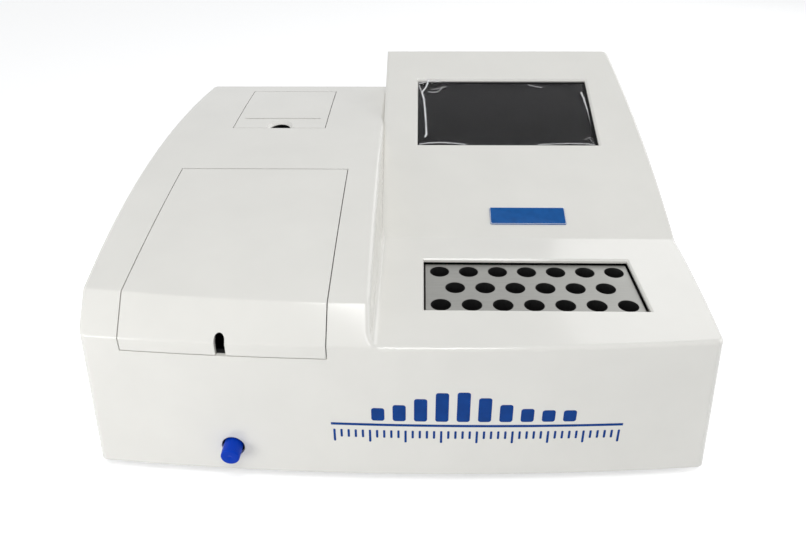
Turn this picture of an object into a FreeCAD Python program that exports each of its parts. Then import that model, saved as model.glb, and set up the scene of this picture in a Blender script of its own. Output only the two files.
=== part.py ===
import FreeCAD, Part
import math
import os

# Benchtop chemistry analyzer, in millimetres.
# X runs to the right, Y to the back and Z up. The origin is on the table, under the centre of the whole box.

V = FreeCAD.Vector

# Housing form
front_width = 397.0          # between the front top corners
front_bow = 10.0             # the front swells forward by this much in the middle
side_bow = 9.0               # each side swells outward by this much
corner_depth = 355.0         # from the front top corners to the back face
side_lean_share = 0.072      # the side walls spread towards the bottom
front_lean_share = 0.05      # the front wall comes forward towards the bottom
rim_height = 8.0             # table to the lower rim
low_deck_height = 110.0      # table to the low deck on the right
left_deck_front_rise = 18.0  # the left deck above the low deck, at the front corners
left_deck_back_rise = 48.5
left_deck_crown = 9.2        # the left deck's arc above its chord
band_angle = 46.4            # steep front band of the left deck, in degrees
tower_foot_setback = 128.0   # the display tower starts this far behind the front corners
tower_rise = 84.5
recess_wall_x = -16.0        # foot of the wall between the left deck and the low deck
tower_left_x = -19.7
wall = 3.0
corner_radius = 6.0          # outside; the inner outline has square corners
recess_cove = 5.0
recess_brow = 4.0
tower_cove = 10.0
rim_round = 3.0
overrun = 20.0               # cutting tools run past the form by this much
hexagon_sides = 6
facet_sides = 12             # small round pieces that repeat are drawn with this many sides
seat_gap = 0.3               # between pieces that are put together
run_gap = 0.6                # around the lids

# Lids and hinges
lid_span_share = 157 / 182.5   # lid's left side, of the left deck's width from the recess wall
lid_right = -43.8
lid_rear_setback = 164.8
lid_lip = 8.6                # the lid laps down over the front face
lid_reach = 16.0             # from the hinge axis to the lid's rear edge
slot_x = -109.0
slot_width = 6.6
slot_rise = 4.9              # top of the slot above the front top edge
slot_sill = 1.0              # the tray's notch runs this far under the lid's edge
slot_margin = 1.5            # the tray's notch is wider than the slot by this much at each side
printer_left = -149.8
printer_right = -70.2
printer_front_setback = 239.4
printer_rear_setback = 336.2
slit_inset = 6.0
slit_setback = 260.0
slit_width = 1.6
notch_radius = 9.3
notch_rim = 2.0
hinge_drop = 6.5             # the hinge axis lies this far under the skin's outer face
pin_radius = 1.5
pin_fit = 0.05
lug_thick = 5.0
lug_radius = 3.0
ear_thick = 5.0
ear_depth = 26.0
ear_front = 12.0
ear_behind = 1.4

# Sample tray, pump and flow cell
tray_margin = 2.5            # the tray reaches this far outside the lid opening
tray_wall = 4.2
tray_floor_height = 80.0
tray_floor = 3.0
pump_lid_inset = 33.0
pump_setback = 60.0
pump_size = 50.0
pump_height = 15.0
race_radius = 19.0
roller_radius = 4.0
roller_orbit = 11.7
rotor_radius = 14.5
rotor_disc = 2.0
roller_length = 7.0
roller_count = 3
roller_pin = 1.2
rotor_hub = 4.0
rotor_lift = 1.5
tube_radius = 1.4
tube_orbit = 17.35
tube_turn = 15.0
tube_sides = 8
motor_shaft = 2.0
pump_motor_radius = 14.0
pump_motor_length = 42.0
cell_x = -76.0
cell_width = 16.0
cell_depth = 20.0
cell_top = 100.0
cell_bottom = 36.0
cell_window = 3.0

# Optics on their base
path_setback = 130.0
path_height = 48.0
optic_base_top = 18.0
optic_base_left = -178.0
optic_base_right = -46.0
optic_base_front = 108.0
optic_base_back = 176.0
lamp_left = -174.0
lamp_length = 30.0
lamp_size = 36.0
fin_count = 5
fin_depth = 5.0
bulb_radius = 6.0
bulb_length = 14.0
bulb_step = 1.5
lens_left = -140.0
lens_length = 14.0
lens_radius = 9.0
lens_glass = 4.0
lens_bore = 7.0
wheel_x = -118.0
wheel_thick = 4.0
wheel_radius = 24.0
filter_orbit = 18.0
filter_radius = 5.0
filter_count = 8
filter_thick = 3.0
step_motor_size = 20.0
step_motor_length = 18.0
step_motor_shaft = 1.5
detector_left = -64.0
detector_length = 14.0
detector_size = 22.0

# Printer
bin_margin = 2.0
bin_wall = 3.6
bin_depth = 66.0
roll_radius = 21.0
roll_width = 57.0
roll_core = 6.0
roll_setback = 300.0
roll_drop = 36.0
spindle_fit = 0.08
platen_radius = 5.0
platen_drop = 13.0
platen_setback = 268.0
platen_shaft = 2.0
head_length = 62.0
head_depth = 10.0
head_height = 16.0

# Display
window_left = 10.4
window_right = 165.4
window_low = 106.0           # up the slope from the tower's foot
window_high = 194.6
window_bevel = 1.6
glass_margin = 5.0
glass_thick = 1.8
film_inset = 0.6
film_thick = 0.15
panel_thick = 6.0
panel_margin = 3.0
bracket_thick = 1.5
bracket_margin = 12.0
board_thick = 1.6
board_gap = 6.0
post_radius = 3.0

# Incubator
opening_left = 15.7
opening_right = 162.7
opening_front_setback = 31.7
opening_back_setback = 96.1
opening_bevel = 1.2
block_clearance = 0.4
block_sink = 4.0             # the block's face lies this far under the deck
block_height = 45.0
block_edge = 1.0
well_radius = 6.9
well_depth = 40.0
well_pitch = 20.7
well_row_pitch = 21.0
wells_in_rows = (7, 6, 7)
heater_thick = 1.5
cradle_thick = 2.0
cradle_reach = 10.0
probe_radius = 1.6
probe_length = 30.0
probe_collar = 5.0

# Push button
button_x = -110.0
button_height = 28.0
button_proud = 10.5
button_radius = 6.3
button_hole_radius = 7.7
button_fit = 0.08
button_round = 0.8
button_dimple = 2.2
button_travel = 4.0
guide_radius = 9.5
guide_gap = 1.3              # the front wall leans and bows across the guide's width
guide_length = 30.0
guide_wall = 3.0
stem_radius = 2.5
clip_radius = 4.0
clip_thick = 1.2
spring_turns = 4
spring_sides = 6
spring_wire = 0.5
spring_radius = 4.4
switch_width = 20.0
switch_height = 10.0
switch_depth = 12.0
switch_gap = 0.4

# Base, feet and fasteners
pan_thick = 2.0
pan_flange = 7.0
pan_flange_thick = 1.5
vent_count = 9
vent_width = 4.0
vent_length = 60.0
vent_pitch = 10.0
foot_radius = 12.0
foot_taper = 2.0
foot_side_inset = 38.5
foot_front_setback = 30.0
foot_back_setback = 320.0
boss_radius = 4.5
boss_side_inset = 12.5
boss_front_setback = 14.0
boss_back_setback = 338.0
screw_radius = 1.5
screw_fit = 0.05
screw_length = 14.0
screw_head_radius = 3.5
screw_head = 2.2

# Rear panel and what it carries
rear_left_share = -150 / 198.5   # sides of the rear opening, of half the front width
rear_right_share = 160 / 198.5
rear_low = 26.0
rear_high = 98.0
rear_lap = 7.0
rear_thick = 1.5
inlet_share = 120 / 198.5       # middles of the rear fittings, of half the front width
inlet_height = 42.0
inlet_width = 48.0
inlet_tall = 24.0
inlet_flange = 2.5
inlet_body_width = 27.0
inlet_body_tall = 20.0
inlet_body_depth = 22.0
inlet_cavity_width = 24.0
inlet_cavity_tall = 16.0
inlet_cavity_depth = 16.0
blade_width = 2.0
blade_tall = 4.5
blade_length = 12.0
blade_spread = 7.0
switch_share = 72 / 198.5
rocker_width = 12.0
rocker_tall = 19.0
rocker_angle = 12.0
rocker_foot_share = 0.6      # of the rocker's half height
switch_frame = 2.0
switch_body_depth = 20.0
rocker_shaft = 1.2
fan_share = -100 / 198.5
fan_height = 58.0
fan_size = 60.0
fan_depth = 15.0
fan_bore = 28.0
fan_hub = 11.0
blade_count = 7
blade_tip_gap = 1.2
blade_sheet = 1.4
blade_pitch_angle = 38.0
fan_shaft = 1.5
guard_wire = 1.6
guard_sheet = 1.0
guard_rings = 3
serial_share = 25 / 198.5
serial_width = 31.0
serial_tall = 12.5
serial_nose_shares = (0.55, 0.75)
usb_share = -12 / 198.5
usb_width = 14.0
usb_tall = 16.0
port_height = 40.0
port_depth = 14.0
port_proud = 2.6
waste_share = -45 / 198.5
waste_radius = 2.6
waste_bore = 1.4
waste_flange = 6.0
waste_length = 22.0

# Electronics
board_left = -58.0
board_right = 92.0
board_front_setback = 190.0
board_back_setback = 318.0
standoff_height = 8.0
standoff_radius = 3.0
standoff_inset = 6.0
chip_height = 3.0
chip_size = 22.0
chip_count = 3
socket_height = 9.0
socket_length = 26.0
socket_depth = 8.0
supply_left_share = 104 / 198.5
supply_width = 66.0
supply_front_setback = 190.0
supply_length = 110.0
supply_height = 36.0
supply_sheet = 1.2
coil_size = 26.0
capacitor_radius = 9.0
capacitor_height = 22.0

# Derived places
half_front = front_width / 2
lid_left = recess_wall_x - lid_span_share * (half_front + recess_wall_x)
pump_x = lid_left + pump_lid_inset
foot_x = half_front - foot_side_inset
boss_x = half_front - boss_side_inset
rear_left = rear_left_share * half_front
rear_right = rear_right_share * half_front
inlet_x = inlet_share * half_front
switch_x = switch_share * half_front
serial_x = serial_share * half_front
usb_x = usb_share * half_front
waste_x = waste_share * half_front
fan_x = fan_share * half_front
supply_left = supply_left_share * half_front
bow_radius = (half_front ** 2 + front_bow ** 2) / (2 * front_bow)
button_bow = front_bow - (bow_radius - math.sqrt(bow_radius ** 2 - button_x ** 2))
button_reach = button_bow + front_lean_share * (low_deck_height - button_height) + button_proud
corner_y = (button_reach - corner_depth) / 2
back_y = corner_y + corner_depth
front_limit = corner_y - button_reach - overrun
back_limit = back_y + overrun
bow_centre_y = corner_y - front_bow + bow_radius
tower_slope = tower_rise / (corner_depth - tower_foot_setback)
tower_angle = math.atan(tower_slope)
tower_foot_y = corner_y + tower_foot_setback
ceiling = low_deck_height + tower_rise + overrun
left_crown_rise = (left_deck_front_rise + left_deck_back_rise) / 2 + left_deck_crown
pan_top = rim_height + pan_thick
tray_floor_top = tray_floor_height + tray_floor
path_y = corner_y + path_setback


def deck_circle(inset):
    """The arc of the left deck, seen from the side, as its centre and radius in Y and Z."""
    front = V(corner_y, low_deck_height + left_deck_front_rise - inset, 0)
    middle = V(corner_y + corner_depth / 2, low_deck_height + left_crown_rise - inset, 0)
    back = V(back_y, low_deck_height + left_deck_back_rise - inset, 0)
    return Part.Circle(front, middle, back)


def deck_height(y):
    """Height of the left deck's outer face at y."""
    circle = deck_circle(0)
    return circle.Center.y + math.sqrt(circle.Radius ** 2 - (y - circle.Center.x) ** 2)


# Hinge axes
lid_axis_y = corner_y + lid_rear_setback - lid_reach
lid_axis_height = deck_height(lid_axis_y) - hinge_drop
printer_axis_y = corner_y + printer_rear_setback - lid_reach
printer_axis_height = deck_height(printer_axis_y) - hinge_drop


# Small helpers
def line(a, b):
    return Part.LineSegment(a, b).toShape()


def arc(a, b, c):
    return Part.Arc(a, b, c).toShape()


def block(x0, x1, y0, y1, z0, z1):
    return Part.makeBox(x1 - x0, y1 - y0, z1 - z0, V(x0, y0, z0))


def rod(radius, start, end):
    along = end.sub(start)
    return Part.makeCylinder(radius, along.Length, start, along)


def pipe(radius, bore, start, end):
    return rod(radius, start, end).cut(rod(bore, start, end))


def polygon_ring(sides, radius, centre, across, up):
    """A regular outline about centre, in the plane of the two unit vectors across and up."""
    turns = [2 * math.pi * index / sides for index in range(sides + 1)]
    return Part.makePolygon([
        centre.add(V(across).multiply(radius * math.cos(turn))).add(V(up).multiply(radius * math.sin(turn)))
        for turn in turns
    ])


def sided_rod(sides, radius, start, end):
    """A prism with that many sides: posts, nuts, screw heads and small round pieces inside."""
    along = end.sub(start)
    across = V(0, 0, 1) if abs(along.z) < along.Length / 2 else V(1, 0, 0)
    up = V(along).normalize().cross(across)
    return Part.Face(polygon_ring(sides, radius, start, across, up)).extrude(along)


def fuse(first, rest):
    return first.fuse(rest).removeSplitter()


def middle(edge):
    return edge.valueAt((edge.FirstParameter + edge.LastParameter) / 2)


def fillet(shape, radius, chosen):
    return shape.makeFillet(radius, [edge for edge in shape.Edges if chosen(edge)])


def upright(edge):
    box = edge.BoundBox
    return box.XLength < seat_gap and box.YLength < seat_gap


def rounded_block(x0, x1, y0, y1, z0, z1, radius):
    return fillet(block(x0, x1, y0, y1, z0, z1), radius, upright)


def group(shapes):
    return Part.makeCompound(shapes)


# Housing form
def circle_centre(first, first_reach, second, second_reach, side):
    """Where two circles about first and second cross, on the side that side points to."""
    gap = second.sub(first)
    along = (first_reach ** 2 - second_reach ** 2 + gap.Length ** 2) / (2 * gap.Length)
    across = math.sqrt(first_reach ** 2 - along ** 2)
    unit = V(gap).normalize()
    turned = V(-unit.y, unit.x, 0)
    if turned.dot(side) < 0:
        turned = turned.negative()
    return first.add(unit.multiply(along)).add(turned.multiply(across))


def plan_wire(z, inset):
    """Outline of the housing at height z: bowed front and sides, straight back, round corners outside."""
    drop = low_deck_height - z
    half = half_front + side_lean_share * drop - inset
    front = corner_y - front_lean_share * drop + inset
    back = back_y - inset
    middle_y = (front + back) / 2
    radius = 0 if inset else corner_radius
    front_radius = (half ** 2 + front_bow ** 2) / (2 * front_bow)
    side_radius = ((back - front) ** 2 / 4 + side_bow ** 2) / (2 * side_bow)
    front_centre = V(0, front - front_bow + front_radius, z)
    side_centre = V(half + side_bow - side_radius, middle_y, z)
    near = circle_centre(front_centre, front_radius - radius, side_centre, side_radius - radius,
                         V(half, front - back, 0))
    far_x = side_centre.x + math.sqrt((side_radius - radius) ** 2 - (back - radius - middle_y) ** 2)
    far = V(far_x, back - radius, z)
    front_mid = V(0, front - front_bow, z)
    side_mid = V(half + side_bow, middle_y, z)

    def flip(point):
        return V(-point.x, point.y, point.z)

    if inset:
        return Part.Wire([
            arc(flip(near), front_mid, near),
            arc(near, side_mid, far),
            line(far, flip(far)),
            arc(flip(far), flip(side_mid), flip(near)),
        ])

    def out(centre, reach, point):
        return centre.add(point.sub(centre).normalize().multiply(reach))

    front_end = out(front_centre, front_radius, near)
    side_start = out(side_centre, side_radius, near)
    side_end = out(side_centre, side_radius, far)
    back_end = V(far.x, back, z)
    near_mid = out(near, radius, V(front_end).add(side_start).multiply(1 / 2))
    far_mid = out(far, radius, V(side_end).add(back_end).multiply(1 / 2))
    return Part.Wire([
        arc(flip(front_end), front_mid, front_end),
        arc(front_end, near_mid, side_start),
        arc(side_start, side_mid, side_end),
        arc(side_end, far_mid, back_end),
        line(back_end, flip(back_end)),
        arc(flip(back_end), flip(far_mid), flip(side_end)),
        arc(flip(side_end), flip(side_mid), flip(side_start)),
        arc(flip(side_start), flip(near_mid), flip(front_end)),
    ])


def plan_body(inset, bottom, top):
    """The walls' envelope, drawn between two outlines."""
    return Part.makeLoft([plan_wire(bottom, inset), plan_wire(top, inset)], True, True)


def left_section(inset, bottom):
    """The left deck's arc over a straight foot, drawn from the side and pulled along X."""
    circle = deck_circle(inset)

    def top(y):
        return V(-front_width, y,
                 circle.Center.y + math.sqrt(circle.Radius ** 2 - (y - circle.Center.x) ** 2))

    foot_front = V(-front_width, front_limit, bottom)
    foot_back = V(-front_width, back_limit, bottom)
    ends = (top(front_limit), top(0), top(back_limit))
    outline = [line(foot_front, ends[0]), arc(*ends), line(ends[2], foot_back), line(foot_back, foot_front)]
    return Part.Face(Part.Wire(outline)).extrude(V(2 * front_width, 0, 0))


def left_flank(inset, bottom):
    """The leaning recess wall with its cove onto the low deck, drawn from the front and pulled along Y."""
    lean = math.atan(side_lean_share)
    wall_x = recess_wall_x - inset
    deck = low_deck_height - inset
    radius = recess_cove + inset
    half_turn = (math.pi / 2 - lean) / 2
    run = radius * math.tan(half_turn)
    foot = V(wall_x + run, front_limit, deck)
    up = V(wall_x - run * math.sin(lean), front_limit, deck + run * math.cos(lean))
    between = V(foot.x - radius * math.sin(half_turn), front_limit,
                deck + radius - radius * math.cos(half_turn))
    high = V(wall_x - side_lean_share * (ceiling - deck), front_limit, ceiling)
    under = V(foot.x, front_limit, bottom)
    outer_low = V(-front_width, front_limit, bottom)
    outer_high = V(-front_width, front_limit, ceiling)
    outline = [
        line(outer_low, under),
        line(under, foot),
        arc(foot, between, up),
        line(up, high),
        line(high, outer_high),
        line(outer_high, outer_low),
    ]
    return Part.Face(Part.Wire(outline)).extrude(V(0, back_limit - front_limit, 0))


def band_cutter(inset):
    """What lies above the steep front band: a ring, turned about the bow's centre."""
    slope = math.tan(math.radians(band_angle))
    drop = inset / math.cos(math.radians(band_angle))
    foot = low_deck_height - drop
    rise = left_deck_back_rise + overrun
    places = [
        (bow_radius + overrun / slope, foot - overrun),
        (bow_radius + 3 * overrun, foot - overrun),
        (bow_radius + 3 * overrun, foot + rise),
        (bow_radius - rise / slope, foot + rise),
    ]
    corners = [V(0, bow_centre_y - radius, z) for radius, z in places]
    face = Part.Face(Part.makePolygon(corners + corners[:1]))
    sweep = math.degrees(math.asin(front_width / bow_radius))
    centre = V(0, bow_centre_y, 0)
    face.rotate(centre, V(0, 0, 1), -sweep)
    return face.revolve(centre, V(0, 0, 1), 2 * sweep)


def left_form(inset, bottom):
    form = left_section(inset, bottom).common(left_flank(inset, bottom))
    form = form.common(plan_body(inset, bottom, ceiling)).cut(band_cutter(inset))
    return form.removeSplitter().Solids[0]


def right_form(inset, bottom):
    """Low deck and display tower in one section, with a cove where they meet."""
    deck = low_deck_height - inset
    drop = inset / math.cos(tower_angle)
    foot = tower_foot_y + (drop - inset) / tower_slope
    radius = tower_cove + inset
    run = radius * math.tan(tower_angle / 2)
    x = tower_left_x + inset
    start = V(x, foot - run, deck)
    end = V(x, foot + run * math.cos(tower_angle), deck + run * math.sin(tower_angle))
    between = V(x, start.y + radius * math.sin(tower_angle / 2),
                deck + radius - radius * math.cos(tower_angle / 2))
    high = V(x, back_limit, deck + tower_slope * (back_limit - foot))
    front_low = V(x, front_limit, bottom)
    front_high = V(x, front_limit, deck)
    back_low = V(x, back_limit, bottom)
    outline = [
        line(front_low, front_high),
        line(front_high, start),
        arc(start, between, end),
        line(end, high),
        line(high, back_low),
        line(back_low, front_low),
    ]
    form = Part.Face(Part.Wire(outline)).extrude(V(2 * front_width, 0, 0))
    return form.common(plan_body(inset, bottom, ceiling)).removeSplitter().Solids[0]


def near_recess(point):
    return abs(point.x - recess_wall_x) < wall + recess_cove


def rounded_left_form():
    form = left_form(0, rim_height)
    brow = []
    for edge in form.Edges:
        point = middle(edge)
        if near_recess(point) and point.z > low_deck_height + recess_cove and edge.Length > overrun:
            if point.y < back_y - rim_round:
                brow.append(edge)
    form = form.makeFillet(recess_brow, brow)
    return fillet(form, rim_round, lambda edge: middle(edge).z > low_deck_height - rim_round / 2
                  and not near_recess(middle(edge)))


def rounded_right_form():
    form = right_form(0, rim_height)

    def on_the_rim(edge):
        point = middle(edge)
        if point.z < low_deck_height - rim_round / 2:
            return False
        side = point.x > half_front - 2 * corner_radius
        front = point.y < corner_y - rim_round
        back = point.y > back_y - rim_round
        tower_left = point.x < tower_left_x + rim_round and point.y > tower_foot_y + tower_cove
        return side or front or back or tower_left

    return fillet(form, rim_round, on_the_rim)


def outer_form():
    return fuse(rounded_left_form(), [rounded_right_form()])


def inner_form(inset, bottom):
    return fuse(left_form(inset, bottom), [right_form(inset, bottom)])


# Places on the tower's slope
def on_tower(shape):
    """Moves a shape drawn with Y up the slope and Z square to it, from the tower's foot line."""
    shape.rotate(V(0, 0, 0), V(1, 0, 0), math.degrees(tower_angle))
    shape.translate(V(0, tower_foot_y, low_deck_height))
    return shape


# Lid outlines
def lid_tool(left, right, front, low, axis_y, axis_height, gap):
    """The space of a lid: a block up to the hinge axis and a round rear edge about that axis."""
    ahead = block(left - gap, right + gap, front - gap, axis_y, low - gap, ceiling)
    radius = lid_reach + gap
    behind = rod(radius, V(left - gap, axis_y, axis_height), V(right + gap, axis_y, axis_height))
    above = block(left - gap, right + gap, axis_y - gap, axis_y + radius, axis_height, ceiling)
    return fuse(ahead, [behind.common(above)])


def sample_lid_tool(gap):
    low = low_deck_height - lid_lip
    return lid_tool(lid_left, lid_right, front_limit, low, lid_axis_y, lid_axis_height, gap)


def printer_lid_tool(gap):
    front = corner_y + printer_front_setback
    low = deck_height(front) - 2 * wall
    return lid_tool(printer_left, printer_right, front, low, printer_axis_y, printer_axis_height, gap)


def lugs(left, right, axis_y, axis_height):
    """Two lugs under a lid, bored for the hinge pins."""
    made = []
    offset = ear_thick + tray_margin + seat_gap
    for x0, x1 in ((left + offset, left + offset + lug_thick),
                   (right - offset - lug_thick, right - offset)):
        eye = rod(lug_radius, V(x0, axis_y, axis_height), V(x1, axis_y, axis_height))
        web = block(x0, x1, axis_y - lug_radius, axis_y + lug_radius, axis_height,
                    axis_height + hinge_drop - wall / 2)
        bore = rod(pin_radius + pin_fit, V(x0 - overrun, axis_y, axis_height),
                   V(x1 + overrun, axis_y, axis_height))
        made.append(fuse(eye, [web]).cut(bore))
    return made


def ears(left, right, axis_y, axis_height, outside, under):
    """Two plates in front of and under the hinge axis, bored for the pins."""
    made = []
    for x0, x1 in ((left - outside, left + ear_thick + tray_margin),
                   (right - ear_thick - tray_margin, right + outside)):
        plate = block(x0, x1, axis_y - ear_front, axis_y + ear_behind, axis_height - ear_depth,
                      axis_height + lug_radius)
        made.append(plate.common(under))
    return made


def hinge_pins(left, right, axis_y, axis_height, outside):
    length = ear_thick + tray_margin + seat_gap + lug_thick
    pins = []
    for x0, x1 in ((left - outside, left + length), (right - length, right + outside)):
        pins.append(rod(pin_radius, V(x0, axis_y, axis_height), V(x1, axis_y, axis_height)))
    return group(pins)


def pin_bores(left, right, axis_y, axis_height, outside):
    return rod(pin_radius, V(left - outside, axis_y, axis_height), V(right + outside, axis_y, axis_height))


def boss_places():
    return [V(x, corner_y + setback, 0) for x in (-boss_x, boss_x)
            for setback in (boss_front_setback, boss_back_setback)]


# Housing and lids
def upper_housing(form, hollow):
    housing = form.cut(hollow)
    bosses = []
    for place in boss_places():
        boss = sided_rod(facet_sides, boss_radius, V(place.x, place.y, pan_top),
                         V(place.x, place.y, ceiling))
        bosses.append(boss.common(form))
    housing = fuse(housing, bosses)
    cuts = [sample_lid_tool(run_gap), printer_lid_tool(run_gap)]
    for place in boss_places():
        top = rim_height + screw_length + seat_gap
        bore = screw_radius + screw_fit
        cuts.append(sided_rod(facet_sides, bore, V(place.x, place.y, pan_top), V(place.x, place.y, top)))
    cuts.append(block(rear_left, rear_right, back_y - 2 * wall, back_limit, rear_low, rear_high))
    hole = rod(button_hole_radius, V(button_x, front_limit, button_height),
               V(button_x, corner_y, button_height))
    cuts.append(hole)
    cuts.append(bevelled_hole(opening_left, opening_right, corner_y + opening_front_setback,
                              corner_y + opening_back_setback, low_deck_height, opening_bevel))
    cuts.append(on_tower(bevelled_hole(window_left, window_right, window_low, window_high, 0,
                                       window_bevel)))
    return housing.cut(cuts)


def bevelled_hole(x0, x1, y0, y1, top, bevel):
    """A rectangular hole down through a skin whose face is at top, with a chamfered brim."""
    hole = block(x0, x1, y0, y1, top - 2 * wall, top + wall)
    low = Part.makePolygon([V(x0, y0, top - bevel), V(x1, y0, top - bevel), V(x1, y1, top - bevel),
                            V(x0, y1, top - bevel), V(x0, y0, top - bevel)])
    out = 2 * bevel
    high = Part.makePolygon([V(x0 - out, y0 - out, top + bevel), V(x1 + out, y0 - out, top + bevel),
                             V(x1 + out, y1 + out, top + bevel), V(x0 - out, y1 + out, top + bevel),
                             V(x0 - out, y0 - out, top + bevel)])
    return fuse(hole, [Part.makeLoft([low, high], True, True)])


def sample_lid(form, hollow):
    skin = form.common(sample_lid_tool(0)).cut(hollow)
    skin = max(skin.Solids, key=lambda solid: solid.Volume)
    top = low_deck_height + slot_rise
    half = slot_width / 2
    slot = block(slot_x - half, slot_x + half, front_limit, corner_y + overrun, 0, top - half)
    crown = rod(half, V(slot_x, front_limit, top - half), V(slot_x, corner_y + overrun, top - half))
    return fuse(skin, lugs(lid_left, lid_right, lid_axis_y, lid_axis_height)).cut([slot, crown])


def printer_lid(form, hollow):
    skin = form.common(printer_lid_tool(0)).cut(hollow)
    skin = max(skin.Solids, key=lambda solid: solid.Volume)
    slit_y = corner_y + slit_setback
    slit = block(printer_left + slit_inset, printer_right - slit_inset, slit_y, slit_y + slit_width, 0,
                 ceiling)
    front = corner_y + printer_front_setback
    x = (printer_left + printer_right) / 2
    notch = rod(notch_radius, V(x, front, 0), V(x, front, ceiling))
    top = deck_height(front)
    dish = Part.makeCone(notch_radius, notch_radius + 2 * notch_rim, 2 * notch_rim,
                         V(x, front, top - notch_rim))
    return fuse(skin,
                lugs(printer_left, printer_right, printer_axis_y, printer_axis_height)).cut([slit, notch,
                                                                                             dish])


# Tray under the sample lid
def sample_tray(under):
    left = lid_left - tray_margin
    right = lid_right + tray_margin
    back = lid_axis_y + lid_reach + tray_margin
    outer = block(left, right, front_limit, back + tray_wall, tray_floor_height, ceiling).common(under)
    space = plan_body(wall + seat_gap + tray_wall, tray_floor_height, ceiling)
    space = space.common(block(left + tray_wall, right - tray_wall, front_limit, back, tray_floor_top,
                               ceiling))
    sweep = rod(lid_reach + run_gap + seat_gap, V(lid_left - run_gap, lid_axis_y, lid_axis_height),
                V(lid_right + run_gap, lid_axis_y, lid_axis_height))
    tray = outer.cut([space, sweep])
    tray = fuse(tray, ears(lid_left, lid_right, lid_axis_y, lid_axis_height, tray_margin, under))
    half = cell_width / 2 + seat_gap
    deep = cell_depth / 2 + seat_gap
    cell_hole = block(cell_x - half, cell_x + half, path_y - deep, path_y + deep, 0, tray_floor_top)
    shaft_hole = rod(motor_shaft + seat_gap, V(pump_x, corner_y + pump_setback, 0),
                     V(pump_x, corner_y + pump_setback, tray_floor_top))
    half = slot_width / 2 + slot_margin
    notch = block(slot_x - half, slot_x + half, front_limit, corner_y + overrun,
                  low_deck_height - lid_lip - slot_sill, ceiling)
    bore = pin_bores(lid_left, lid_right, lid_axis_y, lid_axis_height, tray_margin)
    return tray.cut([cell_hole, shaft_hole, notch, bore])


# Peristaltic pump
def pump_base():
    y = corner_y + pump_setback
    half = pump_size / 2
    body = rounded_block(pump_x - half, pump_x + half, y - half, y + half, tray_floor_top,
                         tray_floor_top + pump_height, wall)
    floor = tray_floor_top + rotor_lift
    top = tray_floor_top + pump_height
    race = rod(race_radius, V(pump_x, y, floor), V(pump_x, y, top))
    mouth = block(pump_x - race_radius, pump_x + race_radius, y, y + pump_size, floor, top)
    shaft = rod(motor_shaft + seat_gap, V(pump_x, y, tray_floor_top), V(pump_x, y, top))
    return body.cut([race, mouth, shaft])


def roller_places():
    y = corner_y + pump_setback
    turns = [2 * math.pi * index / roller_count for index in range(roller_count)]
    return [V(pump_x + roller_orbit * math.cos(turn), y + roller_orbit * math.sin(turn), 0)
            for turn in turns]


def pump_rotor():
    y = corner_y + pump_setback
    low = tray_floor_top + rotor_lift + seat_gap
    roll_low = low + rotor_disc + seat_gap
    roll_high = roll_low + roller_length
    high = roll_high + seat_gap
    lower = rod(rotor_radius, V(pump_x, y, low), V(pump_x, y, low + rotor_disc))
    upper = rod(rotor_radius, V(pump_x, y, high), V(pump_x, y, high + rotor_disc))
    hub = rod(rotor_hub, V(pump_x, y, low), V(pump_x, y, high + 2 * rotor_disc))
    pins = []
    for p in roller_places():
        pins.append(sided_rod(facet_sides, roller_pin, V(p.x, p.y, low), V(p.x, p.y, high + rotor_disc)))
    bore = rod(motor_shaft + pin_fit, V(pump_x, y, 0), V(pump_x, y, high))
    return fuse(lower, [upper, hub] + pins).cut(bore)


def pump_roller(place):
    low = tray_floor_top + rotor_lift + rotor_disc + 2 * seat_gap
    return pipe(roller_radius, roller_pin + pin_fit, V(place.x, place.y, low),
                V(place.x, place.y, low + roller_length))


def pump_motor():
    y = corner_y + pump_setback
    top = tray_floor_height
    body = rod(pump_motor_radius, V(pump_x, y, top - pump_motor_length), V(pump_x, y, top))
    neck = rod(pump_motor_radius / 2, V(pump_x, y, top - pump_motor_length - wall), V(pump_x, y, top))
    shaft_top = tray_floor_top + rotor_lift + rotor_disc + roller_length
    shaft = rod(motor_shaft, V(pump_x, y, top - wall), V(pump_x, y, shaft_top))
    return fuse(body, [neck, shaft])


def pump_tubing():
    """One soft tube: in from the tray's rear wall, half way round the race, and on to the flow cell."""
    y = corner_y + pump_setback
    z = tray_floor_top + rotor_lift + rotor_disc + 2 * seat_gap + roller_length / 2
    left = pump_x - tube_orbit
    right = pump_x + tube_orbit
    rear = lid_axis_y + lid_reach + tray_margin - seat_gap
    bend = path_y - tube_turn
    cell = cell_x - cell_width / 2 - seat_gap
    diagonal = tube_turn * (1 - math.sqrt(0.5))
    path = Part.Wire([
        line(V(left, rear, z), V(left, y, z)),
        arc(V(left, y, z), V(pump_x, y - tube_orbit, z), V(right, y, z)),
        line(V(right, y, z), V(right, bend, z)),
        arc(V(right, bend, z), V(right + diagonal, path_y - diagonal, z), V(right + tube_turn, path_y, z)),
        line(V(right + tube_turn, path_y, z), V(cell, path_y, z)),
    ])
    ring = polygon_ring(tube_sides, tube_radius, V(left, rear, z), V(1, 0, 0), V(0, 0, 1))
    return path.makePipeShell([ring], True, False)


def flow_cell_block():
    half = cell_width / 2
    deep = cell_depth / 2
    body = rounded_block(cell_x - half, cell_x + half, path_y - deep, path_y + deep, cell_bottom, cell_top,
                         wall / 2)
    window = rod(cell_window, V(cell_x - half, path_y, path_height), V(cell_x + half, path_y, path_height))
    well = rod(cell_window, V(cell_x, path_y, cell_top - deep), V(cell_x, path_y, cell_top))
    foot = block(cell_x - half, cell_x + half, path_y - deep, path_y + deep, optic_base_top, cell_bottom)
    return fuse(body, [foot]).cut([window, well])


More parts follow.
